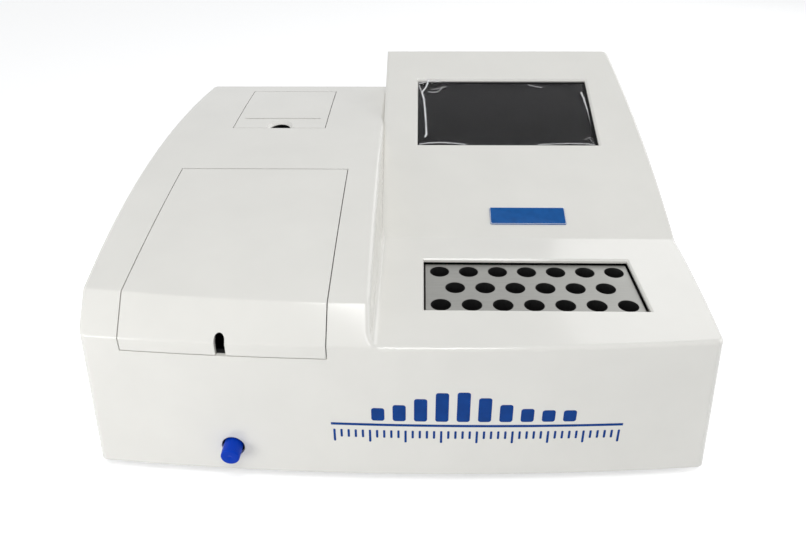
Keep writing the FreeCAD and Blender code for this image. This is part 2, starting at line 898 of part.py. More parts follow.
# Optics
def optical_base():
    y0 = corner_y + optic_base_front
    y1 = corner_y + optic_base_back
    base = rounded_block(optic_base_left, optic_base_right, y0, y1, pan_top, optic_base_top, wall)
    pocket = rounded_block(optic_base_left + 2 * wall, lamp_left + lamp_length, y1 - overrun, y1 - 2 * wall,
                           pan_top + wall, optic_base_top, wall)
    return base.cut(pocket)


def lamp_housing():
    half = lamp_size / 2
    x1 = lamp_left + lamp_length
    body = block(lamp_left + fin_depth, x1, path_y - half, path_y + half, optic_base_top,
                 path_height + half)
    step = lamp_size / (fin_count - 1 / 2)
    fins = []
    for index in range(fin_count):
        y = path_y - half + index * step
        fins.append(block(lamp_left, lamp_left + fin_depth, y, y + step / 2, optic_base_top,
                          path_height + half))
    bore = rod(bulb_radius + wall, V(lamp_left + fin_depth + wall, path_y, path_height),
               V(x1, path_y, path_height))
    return fuse(body, fins).cut(bore)


def halogen_lamp():
    x = lamp_left + fin_depth + wall
    base = rod(bulb_radius, V(x, path_y, path_height), V(x + wall, path_y, path_height))
    neck = V(x + bulb_length, path_y, path_height)
    bulb = rod(bulb_radius - bulb_step, V(x, path_y, path_height), neck)
    tip = Part.makeCone(bulb_radius - bulb_step, bulb_step, bulb_radius - bulb_step, neck, V(1, 0, 0))
    return fuse(base, [bulb, tip])


def lens_holder():
    half = lens_radius
    x1 = lens_left + lens_length
    foot = block(lens_left, x1, path_y - half / 2, path_y + half / 2, optic_base_top, path_height)
    barrel = rod(lens_radius, V(lens_left, path_y, path_height), V(x1, path_y, path_height))
    bore = rod(lens_bore, V(lens_left, path_y, path_height), V(x1, path_y, path_height))
    return fuse(foot, [barrel]).cut(bore)


def condenser_lens():
    """A plano-convex lens in the holder: a disc cut by a sphere."""
    x = lens_left + lens_glass / 2
    disc = rod(lens_bore - pin_fit, V(x, path_y, path_height), V(x + lens_glass, path_y, path_height))
    curve = 2 * lens_bore
    ball = Part.makeSphere(curve, V(x + lens_glass - curve, path_y, path_height))
    return disc.common(ball)


def wheel_centre_y():
    return path_y + filter_orbit


def filter_places():
    turns = [math.pi + 2 * math.pi * index / filter_count for index in range(filter_count)]
    y = wheel_centre_y()
    return [V(0, y + filter_orbit * math.cos(turn), path_height + filter_orbit * math.sin(turn))
            for turn in turns]


def filter_wheel():
    y = wheel_centre_y()
    x1 = wheel_x + wheel_thick
    disc = rod(wheel_radius, V(wheel_x, y, path_height), V(x1, y, path_height))
    hub = rod(2 * wheel_thick, V(wheel_x - wheel_thick, y, path_height), V(x1, y, path_height))
    holes = [sided_rod(facet_sides, filter_radius, V(wheel_x, p.y, p.z), V(x1, p.y, p.z))
             for p in filter_places()]
    bore = rod(step_motor_shaft + pin_fit, V(wheel_x - wheel_thick, y, path_height), V(x1, y, path_height))
    return fuse(disc, [hub]).cut(holes + [bore])


def interference_filters():
    x0 = wheel_x + (wheel_thick - filter_thick) / 2
    radius = filter_radius - pin_fit
    return group([sided_rod(facet_sides, radius, V(x0, p.y, p.z), V(x0 + filter_thick, p.y, p.z))
                  for p in filter_places()])


def filter_motor():
    y = wheel_centre_y()
    half = step_motor_size / 2
    x0 = wheel_x + wheel_thick + wall
    x1 = x0 + step_motor_length
    body = block(x0, x1, y - half, y + half, path_height - half, path_height + half)
    shaft = rod(step_motor_shaft, V(wheel_x - wheel_thick, y, path_height), V(x0, y, path_height))
    stand = block(x0, x0 + wall, y - half, y + half, optic_base_top, path_height)
    return fuse(body, [shaft, stand])


def detector_block():
    half = detector_size / 2
    x1 = detector_left + detector_length
    body = rounded_block(detector_left, x1, path_y - half, path_y + half, optic_base_top,
                         path_height + half, wall / 2)
    hole = rod(cell_window, V(detector_left, path_y, path_height),
               V(detector_left + detector_length / 2, path_y, path_height))
    return body.cut(hole)


# Printer
def bin_floor():
    return deck_height(corner_y + printer_front_setback) - bin_depth


def printer_bin(under):
    left = printer_left - bin_margin
    right = printer_right + bin_margin
    front = corner_y + printer_front_setback - bin_margin
    back = printer_axis_y + lid_reach + bin_margin
    floor = bin_floor()
    outer = block(left, right, front, back + bin_wall / 2, floor, ceiling).common(under)
    space = block(left + bin_wall, right - bin_wall, front + bin_wall, back, floor + bin_wall, ceiling)
    sweep = rod(lid_reach + run_gap + seat_gap,
                V(printer_left - run_gap, printer_axis_y, printer_axis_height),
                V(printer_right + run_gap, printer_axis_y, printer_axis_height))
    box = outer.cut([space, sweep])
    box = fuse(box,
               ears(printer_left, printer_right, printer_axis_y, printer_axis_height, bin_margin, under))
    roll_y, roll_z = roll_place()
    platen_y, platen_z = platen_place()
    bores = [
        pin_bores(printer_left, printer_right, printer_axis_y, printer_axis_height, bin_margin),
        rod(roll_core - 2 * spindle_fit, V(left + bin_wall / 2, roll_y, roll_z),
            V(right - bin_wall / 2, roll_y, roll_z)),
        rod(platen_shaft + spindle_fit, V(left + bin_wall / 2, platen_y, platen_z),
            V(right - bin_wall / 2, platen_y, platen_z)),
    ]
    return box.cut(bores)


def roll_place():
    y = corner_y + roll_setback
    return y, deck_height(y) - roll_drop


def platen_place():
    y = corner_y + platen_setback
    return y, deck_height(y) - platen_drop


def paper_spindle():
    y, z = roll_place()
    inset = bin_wall / 2 - bin_margin
    return rod(roll_core - 2 * spindle_fit, V(printer_left + inset, y, z), V(printer_right - inset, y, z))


def paper_roll():
    y, z = roll_place()
    x = (printer_left + printer_right) / 2
    half = roll_width / 2
    return pipe(roll_radius, roll_core - spindle_fit, V(x - half, y, z), V(x + half, y, z))


def platen_roller():
    y, z = platen_place()
    inset = bin_wall - bin_margin + seat_gap
    body = rod(platen_radius, V(printer_left + inset + seat_gap, y, z),
               V(printer_right - inset - seat_gap, y, z))
    reach = bin_wall / 2 - bin_margin + seat_gap
    shaft = rod(platen_shaft, V(printer_left + reach, y, z), V(printer_right - reach, y, z))
    return fuse(body, [shaft])


def thermal_head():
    y, z = platen_place()
    x = (printer_left + printer_right) / 2
    half = head_length / 2
    front = corner_y + printer_front_setback - bin_margin + bin_wall
    face = block(x - half, x + half, front, y - platen_radius - seat_gap, z - head_height / 2,
                 z + platen_radius)
    web = block(x - half, x + half, front, front + head_depth / 2, bin_floor() + bin_wall,
                z + platen_radius)
    return fuse(face, [web])


# Display
def tower_block(x0, x1, low, high, deep, shallow):
    """A block behind the tower's skin, from deep to shallow under its outer face."""
    return on_tower(block(x0, x1, low, high, -deep, -shallow))


def touch_glass():
    m = glass_margin
    return tower_block(window_left - m, window_right + m, window_low - m, window_high + m,
                       wall + glass_thick, wall)


def screen_film():
    m = film_inset
    return tower_block(window_left + m, window_right - m, window_low + m, window_high - m, wall,
                       wall - film_thick)


def lcd_panel():
    m = panel_margin
    top = wall + glass_thick
    return tower_block(window_left - m, window_right + m, window_low - m, window_high + m,
                       top + panel_thick, top)


def display_bracket():
    top = wall + glass_thick + panel_thick
    m = bracket_margin
    plate = block(window_left - m, window_right + m, window_low - m, window_high + m, -top - bracket_thick,
                  -top)
    inner = 2 * m
    window = block(window_left + inner, window_right - inner, window_low + inner, window_high - inner,
                   -top - bracket_thick, -top)
    posts = []
    for x in (window_left - m + post_radius, window_right + m - post_radius):
        for up in (window_low - m + post_radius, window_high + m - post_radius):
            posts.append(sided_rod(hexagon_sides, post_radius, V(x, up, -top - bracket_thick),
                                   V(x, up, -wall)))
    return on_tower(fuse(plate, posts).cut(window))


def display_board():
    top = wall + glass_thick + panel_thick + bracket_thick
    m = panel_margin
    board = block(window_left + m, window_right - m, window_low + m, window_high - m,
                  -top - board_gap - board_thick, -top - board_gap)
    posts = []
    for x in (window_left + 2 * m, window_right - 2 * m):
        for up in (window_low + 2 * m, window_high - 2 * m):
            posts.append(sided_rod(hexagon_sides, post_radius / 2, V(x, up, -top - board_gap),
                                   V(x, up, -top)))
    chip = block(window_left + chip_size, window_left + 2 * chip_size, window_low + chip_size,
                 window_low + 2 * chip_size, -top - board_gap, -top - board_gap + chip_height)
    return on_tower(fuse(board, posts + [chip]))


# Incubator
def block_sides():
    m = block_clearance
    return (opening_left + m, opening_right - m, corner_y + opening_front_setback + m,
            corner_y + opening_back_setback - m)


def well_places():
    x0, x1, y0, y1 = block_sides()
    centre_x = (x0 + x1) / 2
    centre_y = (y0 + y1) / 2
    places = []
    for row, count in enumerate(wells_in_rows):
        y = centre_y + (row - (len(wells_in_rows) - 1) / 2) * well_row_pitch
        for index in range(count):
            places.append((centre_x + (index - (count - 1) / 2) * well_pitch, y))
    return places


def incubator_block():
    x0, x1, y0, y1 = block_sides()
    top = low_deck_height - block_sink
    body = block(x0, x1, y0, y1, top - block_height, top)
    body = body.makeChamfer(block_edge, [edge for edge in body.Edges if middle(edge).z > top - seat_gap])
    wells = [rod(well_radius, V(x, y, top - well_depth), V(x, y, top)) for x, y in well_places()]
    start, end = probe_ends()
    return body.cut(wells + [rod(probe_radius + pin_fit, start, end)])


def probe_ends():
    """The probe's hole runs in from the block's left face, between two wells' bottoms and the underside."""
    x0, x1, y0, y1 = block_sides()
    z = low_deck_height - block_sink - block_height + (block_height - well_depth) / 2
    y = (y0 + y1) / 2
    return V(x0, y, z), V(x0 + probe_length, y, z)


def temperature_probe():
    start, end = probe_ends()
    tip = rod(probe_radius, start, end)
    collar = rod(probe_radius + seat_gap, V(start.x - probe_collar, start.y, start.z), start)
    return fuse(tip, [collar])


def incubator_heater():
    x0, x1, y0, y1 = block_sides()
    top = low_deck_height - block_sink - block_height
    return rounded_block(x0 + wall, x1 - wall, y0 + wall, y1 - wall, top - heater_thick, top, wall)


def incubator_cradle():
    """A sheet under the heater on four posts that hang from the low deck."""
    x0, x1, y0, y1 = block_sides()
    top = low_deck_height - block_sink - block_height - heater_thick
    m = cradle_reach
    sheet = rounded_block(x0 - m, x1 + m, y0 - m, y1 + m, top - cradle_thick, top, wall)
    posts = []
    for x in (x0 - m + post_radius, x1 + m - post_radius):
        for y in (y0 - m + post_radius, y1 + m - post_radius):
            posts.append(sided_rod(hexagon_sides, post_radius, V(x, y, top - cradle_thick),
                                   V(x, y, low_deck_height - wall)))
    return fuse(sheet, posts)


# Push button
def button_face_y():
    """Where the front wall's outer face meets the button's axis."""
    return corner_y - button_reach + button_proud


def at_button(y):
    return V(button_x, y, button_height)


def aspirate_button():
    front = button_face_y() - button_proud
    guide_front = button_face_y() + wall + guide_gap
    cap_back = guide_front + guide_length / 2
    cap = rod(button_radius, at_button(front), at_button(cap_back))
    cap = cap.makeChamfer(button_round,
                          [edge for edge in cap.Edges if edge.BoundBox.YMax < front + seat_gap])
    dimple = Part.makeCone(button_dimple, 0, button_round / 2, at_button(front), V(0, 1, 0))
    stem_end = guide_front + guide_length + clip_thick + 2 * seat_gap
    stem = rod(stem_radius, at_button(cap_back), at_button(stem_end))
    clip = rod(clip_radius, at_button(stem_end - clip_thick), at_button(stem_end))
    return fuse(cap, [stem, clip]).cut(dimple)


def button_guide():
    """A flanged sleeve behind the front wall, closed at the back but for the stem."""
    front = button_face_y() + wall + guide_gap
    back = front + guide_length
    sleeve = rod(guide_radius, at_button(front), at_button(back))
    bore = rod(button_radius + button_fit, at_button(front), at_button(back - guide_wall))
    stem_hole = rod(stem_radius + button_fit, at_button(front), at_button(back))
    foot = block(button_x - guide_radius, button_x + guide_radius, front + guide_wall, back, pan_top,
                 button_height)
    return fuse(sleeve, [foot]).cut([bore, stem_hole])


def button_spring():
    """A helix round the stem, between the cap and the guide's rear wall."""
    front = button_face_y() + wall + guide_gap
    start = front + guide_length / 2 + spring_wire + seat_gap / 2
    end = front + guide_length - guide_wall - spring_wire - seat_gap / 2
    pitch = (end - start) / spring_turns

    def along(turns):
        angle = 2 * math.pi * turns
        return V(button_x + spring_radius * math.cos(angle), start + pitch * turns,
                 button_height + spring_radius * math.sin(angle))

    halves = [index / 2 for index in range(2 * spring_turns)]
    path = Part.Wire([arc(along(turns), along(turns + 1 / 4), along(turns + 1 / 2)) for turns in halves])
    ring = polygon_ring(spring_sides, spring_wire, along(0), V(1, 0, 0), V(0, 1, 0))
    return path.makePipeShell([ring], True, False)


def button_switch():
    """A switch on its own foot, which the stem reaches at the end of its travel."""
    front = button_face_y() + wall + guide_gap
    plunger_tip = front + guide_length + clip_thick + 2 * seat_gap + switch_gap
    body_front = plunger_tip + button_travel + clip_thick
    half = switch_width / 2
    tall = switch_height / 2
    body = block(button_x - half, button_x + half, body_front, body_front + switch_depth,
                 button_height - tall, button_height + tall)
    foot = block(button_x - half, button_x + half, body_front, body_front + switch_depth / 2, pan_top,
                 button_height)
    return fuse(body, [foot])


# Base
def base_pan():
    flange_top = pan_top + pan_flange
    inset = wall + seat_gap
    outline = Part.Face(plan_wire(flange_top, inset))
    outline.translate(V(0, 0, rim_height - flange_top))
    inner_outline = Part.Face(plan_wire(flange_top, inset + pan_flange_thick))
    inner_outline.translate(V(0, 0, pan_top - flange_top))
    pan = outline.extrude(V(0, 0, flange_top - rim_height)).cut(inner_outline.extrude(V(0, 0, pan_flange)))
    cuts = []
    for place in boss_places():
        low = V(place.x, place.y, pan_top)
        cuts.append(sided_rod(facet_sides, boss_radius + seat_gap, low, V(place.x, place.y, flange_top)))
        cuts.append(sided_rod(facet_sides, screw_radius + seat_gap, V(place.x, place.y, 0), low))
    middle_x = (opening_left + opening_right) / 2
    for index in range(vent_count):
        x = middle_x + (index - (vent_count - 1) / 2) * vent_pitch
        y = corner_y + opening_front_setback
        cuts.append(block(x - vent_width / 2, x + vent_width / 2, y, y + vent_length, 0, pan_top))
    return pan.cut(cuts)


def rubber_feet():
    feet = []
    for x in (-foot_x, foot_x):
        for setback in (foot_front_setback, foot_back_setback):
            y = corner_y + setback
            feet.append(Part.makeCone(foot_radius - foot_taper, foot_radius, rim_height, V(x, y, 0)))
    return group(feet)


def screw(place, up):
    """A hexagon-head screw whose head seats at place and whose shank runs along up."""
    head = sided_rod(hexagon_sides, screw_head_radius, place.sub(V(up).multiply(screw_head)), place)
    shank = sided_rod(facet_sides, screw_radius, place, place.add(V(up).multiply(screw_length)))
    return fuse(head, [shank])


def housing_screws():
    return group([screw(V(place.x, place.y, rim_height), V(0, 0, 1)) for place in boss_places()])


# Rear panel
def rear_face():
    """Outer face of the rear panel, against the inside of the back wall."""
    return back_y - wall


def rear_panel():
    y1 = rear_face()
    y0 = y1 - rear_thick
    panel = block(rear_left - rear_lap, rear_right + rear_lap, y0, y1, rear_low - rear_lap,
                  rear_high + rear_lap)
    cuts = [rod(fan_bore, V(fan_x, y0, fan_height), V(fan_x, y1, fan_height))]
    cuts.append(rear_block(inlet_x, inlet_height, inlet_body_width + seat_gap, inlet_body_tall + seat_gap,
                           y0, y1))
    width, tall = switch_outline()
    cuts.append(rear_block(switch_x, inlet_height, width + seat_gap, tall + seat_gap, y0, y1))
    cuts.append(rear_block(serial_x, port_height, serial_width + seat_gap, serial_tall + seat_gap, y0, y1))
    cuts.append(rear_block(usb_x, port_height, usb_width + seat_gap, usb_tall + seat_gap, y0, y1))
    cuts.append(rod(waste_radius + seat_gap, V(waste_x, y0, port_height), V(waste_x, y1, port_height)))
    return panel.cut(cuts)


def rear_block(x, z, width, tall, y0, y1):
    return block(x - width / 2, x + width / 2, y0, y1, z - tall / 2, z + tall / 2)


def power_inlet():
    y1 = rear_face()
    flange = rear_block(inlet_x, inlet_height, inlet_width, inlet_tall, y1, y1 + inlet_flange)
    body = rear_block(inlet_x, inlet_height, inlet_body_width, inlet_body_tall, y1 - inlet_body_depth, y1)
    cavity = rear_block(inlet_x, inlet_height, inlet_cavity_width, inlet_cavity_tall,
                        y1 + inlet_flange - inlet_cavity_depth, y1 + inlet_flange)
    floor = y1 + inlet_flange - inlet_cavity_depth
    blades = []
    for dx, dz in ((-blade_spread, 0), (blade_spread, 0), (0, blade_tall / 2)):
        blades.append(rear_block(inlet_x + dx, inlet_height + dz, blade_width, blade_tall, floor,
                                 floor + blade_length))
    return fuse(fuse(flange, [body]).cut(cavity), blades)


def rocker_centre_y():
    return rear_face() - switch_frame


def switch_outline():
    return rocker_width + 2 * switch_frame, rocker_tall + 2 * switch_frame


def power_switch_body():
    y1 = rear_face()
    width, tall = switch_outline()
    bezel = rear_block(switch_x, inlet_height, width + switch_frame, tall + switch_frame, y1,
                       y1 + switch_frame / 2)
    body = rear_block(switch_x, inlet_height, width, tall, y1 - switch_body_depth, y1)
    space = rear_block(switch_x, inlet_height, rocker_width + 2 * seat_gap, rocker_tall + 4 * seat_gap,
                       y1 - switch_body_depth / 2, y1 + switch_frame)
    pivot = rod(rocker_shaft, V(switch_x - width / 2, rocker_centre_y(), inlet_height),
                V(switch_x + width / 2, rocker_centre_y(), inlet_height))
    return fuse(fuse(bezel, [body]).cut(space), [pivot])


def power_rocker():
    """A rocker with two flats that meet in a shallow valley, tipped about its middle."""
    y = rocker_centre_y()
    half = rocker_tall / 2 - seat_gap
    tip = math.tan(math.radians(rocker_angle))
    face = y + switch_frame + switch_frame / 2
    x0 = switch_x - rocker_width / 2
    corners = [
        V(x0, face - half * tip / 2, inlet_height),
        V(x0, face + half * tip / 2, inlet_height + half),
        V(x0, y - switch_frame, inlet_height + half * rocker_foot_share),
        V(x0, y - switch_frame, inlet_height - half * rocker_foot_share),
        V(x0, face - half * tip / 2, inlet_height - half),
    ]
    body = Part.Face(Part.makePolygon(corners + corners[:1])).extrude(V(rocker_width, 0, 0))
    bore = rod(rocker_shaft + pin_fit, V(x0 - overrun, y, inlet_height),
               V(x0 + overrun + rocker_width, y, inlet_height))
    return body.cut(bore)


# Fan
def fan_frame():
    y1 = rear_face() - rear_thick
    y0 = y1 - fan_depth
    half = fan_size / 2
    frame = rear_block(fan_x, fan_height, fan_size, fan_size, y0, y1)
    frame = frame.makeFillet(wall, [edge for edge in frame.Edges if edge.BoundBox.YLength > wall])
    bore = rod(fan_bore, V(fan_x, y0, fan_height), V(fan_x, y1, fan_height))
    hub = rod(fan_hub, V(fan_x, y0, fan_height), V(fan_x, y0 + wall, fan_height))
    shaft = rod(fan_shaft, V(fan_x, y0, fan_height), V(fan_x, y1 - wall, fan_height))
    arms = [rear_block(fan_x, fan_height, 2 * fan_bore + seat_gap, wall, y0, y0 + wall / 2),
            rear_block(fan_x, fan_height, wall, 2 * fan_bore + seat_gap, y0, y0 + wall / 2)]
    return fuse(frame.cut(bore), [hub, shaft] + arms)


def fan_rotor():
    """A hub with pitched blades, each a thin plate cut to the fan's bore."""
    y0 = rear_face() - rear_thick - fan_depth + wall + seat_gap
    y1 = rear_face() - rear_thick - wall / 2
    hub = rod(fan_hub, V(fan_x, y0, fan_height), V(fan_x, y1, fan_height))
    reach = rod(fan_bore - blade_tip_gap, V(fan_x, y0, fan_height), V(fan_x, y1, fan_height))
    depth = y1 - y0
    blades = []
    for index in range(blade_count):
        blade = block(0, fan_bore, -depth, depth, -blade_sheet / 2, blade_sheet / 2)
        blade.rotate(V(0, 0, 0), V(1, 0, 0), blade_pitch_angle)
        blade.translate(V(fan_x + fan_hub / 2, (y0 + y1) / 2, fan_height))
        blade.rotate(V(fan_x, 0, fan_height), V(0, 1, 0), 360 * index / blade_count)
        blades.append(blade.common(reach))
    bore = rod(fan_shaft + pin_fit, V(fan_x, y0, fan_height), V(fan_x, y1 - wall / 4, fan_height))
    return fuse(hub, blades).cut(bore)


def fan_guard():
    """Stamped rings on a cross, in front of the panel's round hole."""
    y0 = rear_face()
    y1 = y0 + guard_sheet
    step = fan_bore / guard_rings
    rings = []
    for index in range(guard_rings):
        radius = step * (index + 1)
        rings.append(pipe(radius, radius - guard_wire, V(fan_x, y0, fan_height), V(fan_x, y1, fan_height)))
    rim = pipe(fan_bore + 2 * guard_wire, fan_bore - guard_wire, V(fan_x, y0, fan_height),
               V(fan_x, y1, fan_height))
    reach = 2 * (fan_bore + guard_wire)
    cross = [rear_block(fan_x, fan_height, reach, guard_wire, y0, y1),
             rear_block(fan_x, fan_height, guard_wire, reach, y0, y1)]
    return fuse(rim, cross + rings[:-1])


# Ports
def serial_port():
    y1 = rear_face()
    shell = rear_block(serial_x, port_height, serial_width, serial_tall, y1 - port_depth, y1)
    across, up = serial_nose_shares
    nose = rear_block(serial_x, port_height, serial_width * across, serial_tall * up, y1, y1 + port_proud)
    return fuse(shell, [nose])


def usb_port():
    y1 = rear_face()
    shell = rear_block(usb_x, port_height, usb_width, usb_tall, y1 - port_depth, y1 + port_proud / 2)
    cuts = []
    for dz in (-usb_tall / 4, usb_tall / 4):
        cuts.append(rear_block(usb_x, port_height + dz, usb_width - pan_thick, usb_tall / 2 - pan_thick,
                               y1 - port_depth / 2, y1 + port_proud))
    return shell.cut(cuts)


def waste_outlet():
    y1 = rear_face()
    y0 = y1 - waste_length
    tip = V(waste_x, y1 + port_proud, port_height)
    spout = sided_rod(facet_sides, waste_radius, V(waste_x, y0, port_height), tip)
    flange = rod(waste_flange, V(waste_x, y1, port_height), V(waste_x, y1 + port_proud / 2, port_height))
    nut = sided_rod(hexagon_sides, waste_flange, V(waste_x, y1 - rear_thick - wall, port_height),
                    V(waste_x, y1 - rear_thick, port_height))
    bore = sided_rod(facet_sides, waste_bore, V(waste_x, y0, port_height), tip)
    return fuse(spout, [flange, nut]).cut(bore)


# Electronics
def standoff_places():
    places = []
    for x in (board_left + standoff_inset, board_right - standoff_inset):
        for setback in (board_front_setback + standoff_inset, board_back_setback - standoff_inset):
            places.append(V(x, corner_y + setback, 0))
    return places


def board_standoffs():
    top = pan_top + standoff_height
    return group([sided_rod(hexagon_sides, standoff_radius, V(p.x, p.y, pan_top), V(p.x, p.y, top))
                  for p in standoff_places()])


def main_board():
    y0 = corner_y + board_front_setback
    y1 = corner_y + board_back_setback
    low = pan_top + standoff_height
    top = low + board_thick
    board = block(board_left, board_right, y0, y1, low, top)
    pieces = []
    for index in range(chip_count):
        x = board_left + (index + 1) * (board_right - board_left) / (chip_count + 1)
        pieces.append(block(x - chip_size / 2, x + chip_size / 2, y0 + chip_size, y0 + 2 * chip_size, top,
                            top + chip_height))
        pieces.append(block(x - socket_length / 2, x + socket_length / 2, y1 - 2 * socket_depth,
                            y1 - socket_depth, top,
                            top + socket_height))
    return fuse(board, pieces)


def power_supply():
    """A bent tray with its board, coil and capacitors."""
    x0 = supply_left
    x1 = supply_left + supply_width
    y0 = corner_y + supply_front_setback
    y1 = y0 + supply_length
    tray = block(x0, x1, y0, y1, pan_top, pan_top + supply_height)
    space = block(x0 + supply_sheet, x1 - supply_sheet, y0, y1, pan_top + supply_sheet,
                  pan_top + supply_height)
    card = block(x0 + supply_sheet, x1 - supply_sheet, y0 + wall, y1 - wall, pan_top + supply_sheet,
                 pan_top + supply_sheet + 2 * board_thick)
    centre = (x0 + x1) / 2
    half = coil_size / 2
    low = pan_top + supply_sheet
    coil = block(centre - half, centre + half, y0 + coil_size, y0 + 2 * coil_size, low, low + coil_size)
    cans = [rod(capacitor_radius, V(centre + side * coil_size / 2, y1 - coil_size, low),
                V(centre + side * coil_size / 2, y1 - coil_size, low + capacitor_height))
                for side in (-1, 1)]
    return fuse(tray.cut(space), [card, coil] + cans)


def nodes():
    form = outer_form()
    hollow = inner_form(wall, 0)
    under = inner_form(wall + seat_gap, 0)
    made = {
        "upper_housing": upper_housing(form, hollow),
        "sample_lid": sample_lid(form, hollow),
        "sample_lid_pins": hinge_pins(lid_left, lid_right, lid_axis_y, lid_axis_height, tray_margin),
        "sample_tray": sample_tray(under),
        "printer_lid": printer_lid(form, hollow),
        "printer_lid_pins": hinge_pins(printer_left, printer_right, printer_axis_y, printer_axis_height,
                                       bin_margin),
        "printer_bin": printer_bin(under),
        "paper_spindle": paper_spindle(),
        "paper_roll": paper_roll(),
        "platen_roller": platen_roller(),
        "thermal_head": thermal_head(),
        "pump_base": pump_base(),
        "pump_rotor": pump_rotor(),
        "pump_motor": pump_motor(),
        "pump_tubing": pump_tubing(),
        "flow_cell_block": flow_cell_block(),
        "optical_base": optical_base(),
        "lamp_housing": lamp_housing(),
        "halogen_lamp": halogen_lamp(),
        "lens_holder": lens_holder(),
        "condenser_lens": condenser_lens(),
        "filter_wheel": filter_wheel(),
        "interference_filters": interference_filters(),
        "filter_motor": filter_motor(),
        "detector_block": detector_block(),
        "touch_glass": touch_glass(),
        "screen_film": screen_film(),
        "lcd_panel": lcd_panel(),
        "display_bracket": display_bracket(),
        "display_board": display_board(),
        "incubator_block": incubator_block(),
        "temperature_probe": temperature_probe(),
        "incubator_heater": incubator_heater(),
        "incubator_cradle": incubator_cradle(),
        "aspirate_button": aspirate_button(),
        "button_guide": button_guide(),
        "button_spring": button_spring(),
        "button_switch": button_switch(),
        "base_pan": base_pan(),
        "rubber_feet": rubber_feet(),
        "housing_screws": housing_screws(),
        "rear_panel": rear_panel(),
        "power_inlet": power_inlet(),
        "power_switch_body": power_switch_body(),
        "power_rocker": power_rocker(),
        "fan_frame": fan_frame(),
        "fan_rotor": fan_rotor(),
        "fan_guard": fan_guard(),
        "serial_port": serial_port(),
        "usb_port": usb_port(),
        "waste_outlet": waste_outlet(),
        "board_standoffs": board_standoffs(),
        "main_board": main_board(),
        "power_supply": power_supply(),
    }
    for index, place in enumerate(roller_places()):
        made["pump_roller_%d" % (index + 1)] = pump_roller(place)
    return made


os.makedirs("parts", exist_ok=True)
for name, shape in nodes().items():
    shape.exportStep(os.path.join("parts", name + ".step"))
    print(name, len(shape.Solids), "valid" if shape.isValid() else "INVALID", round(shape.Volume))
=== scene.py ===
"""Looks of a benchtop chemistry analyzer: white mouldings, screen film, name plate, print and finishes.

Every size below is in millimetres and becomes metres where a mesh is made, apart from the settings' sizes,
the stage's places and the depths of relief, which are in metres.
"""

import math

import bpy
import numpy as np
from mathutils import Matrix, Vector


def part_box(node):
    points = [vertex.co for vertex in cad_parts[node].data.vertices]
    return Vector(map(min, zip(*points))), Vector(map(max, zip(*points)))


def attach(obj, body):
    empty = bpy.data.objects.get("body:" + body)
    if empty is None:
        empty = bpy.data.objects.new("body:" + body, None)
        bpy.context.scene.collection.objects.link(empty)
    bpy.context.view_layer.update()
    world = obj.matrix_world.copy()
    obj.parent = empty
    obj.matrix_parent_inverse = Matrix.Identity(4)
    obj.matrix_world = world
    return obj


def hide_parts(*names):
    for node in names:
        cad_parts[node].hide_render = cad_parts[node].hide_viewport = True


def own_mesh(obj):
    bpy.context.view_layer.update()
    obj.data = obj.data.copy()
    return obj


bl_info = {
    "name": "Benchtop Chemistry Analyzer",
    "version": (1, 0, 0),
    "blender": (4, 5, 0),
    "location": "3D View > Sidebar > Analyzer",
    "description": "Dresses the analyzer's frame with mouldings, film, name plate, print and finishes",
    "category": "Object",
}

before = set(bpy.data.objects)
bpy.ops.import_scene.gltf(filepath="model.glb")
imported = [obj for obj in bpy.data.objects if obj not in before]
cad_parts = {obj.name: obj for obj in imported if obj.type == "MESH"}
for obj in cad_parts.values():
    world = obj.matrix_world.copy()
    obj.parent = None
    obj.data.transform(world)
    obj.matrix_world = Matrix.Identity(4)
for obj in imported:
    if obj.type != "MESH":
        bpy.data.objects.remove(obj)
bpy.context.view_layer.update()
MM = 0.001

# The housing's form, as the frame has it
DECK = 110.0                             # height of the low deck
CORNER_Y = -166.733                      # where the front's top corners are
HALF_FRONT = 198.5                       # between the front's middle and a top corner
BOW = 10.0                               # of the front, in plan
SIDE_LEAN = 0.072                        # outwards for each millimetre down
FRONT_LEAN = 0.05                        # forwards for each millimetre down
FOOT_Y = CORNER_Y + 128.0                # where the tower's slope starts
TOWER_ANGLE = math.atan(84.5 / 227.0)    # from the slope's rise and run
WINDOW = (10.4, 165.4, 106.0, 194.6)     # left and right, low and high up the slope
SKIN = 3.0                               # the wall, which is also how deep the glass lies

# The wells of the incubator block
WELL_ROWS = (7, 6, 7)
WELL_PITCH = (20.7, 21.0)                # along a row, and from row to row
LINER_RADIUS = 6.87
LINER_DEPTH = 39.6

# The marks on the front
PRINT_LEFT = -43.6
PRINT_RIGHT = 144.5
PRINT_HEIGHT = 50.8                      # of the rule's left end
PRINT_FALL = 0.0115                      # of the rule towards the right
INK = 0.06                               # how far print stands up

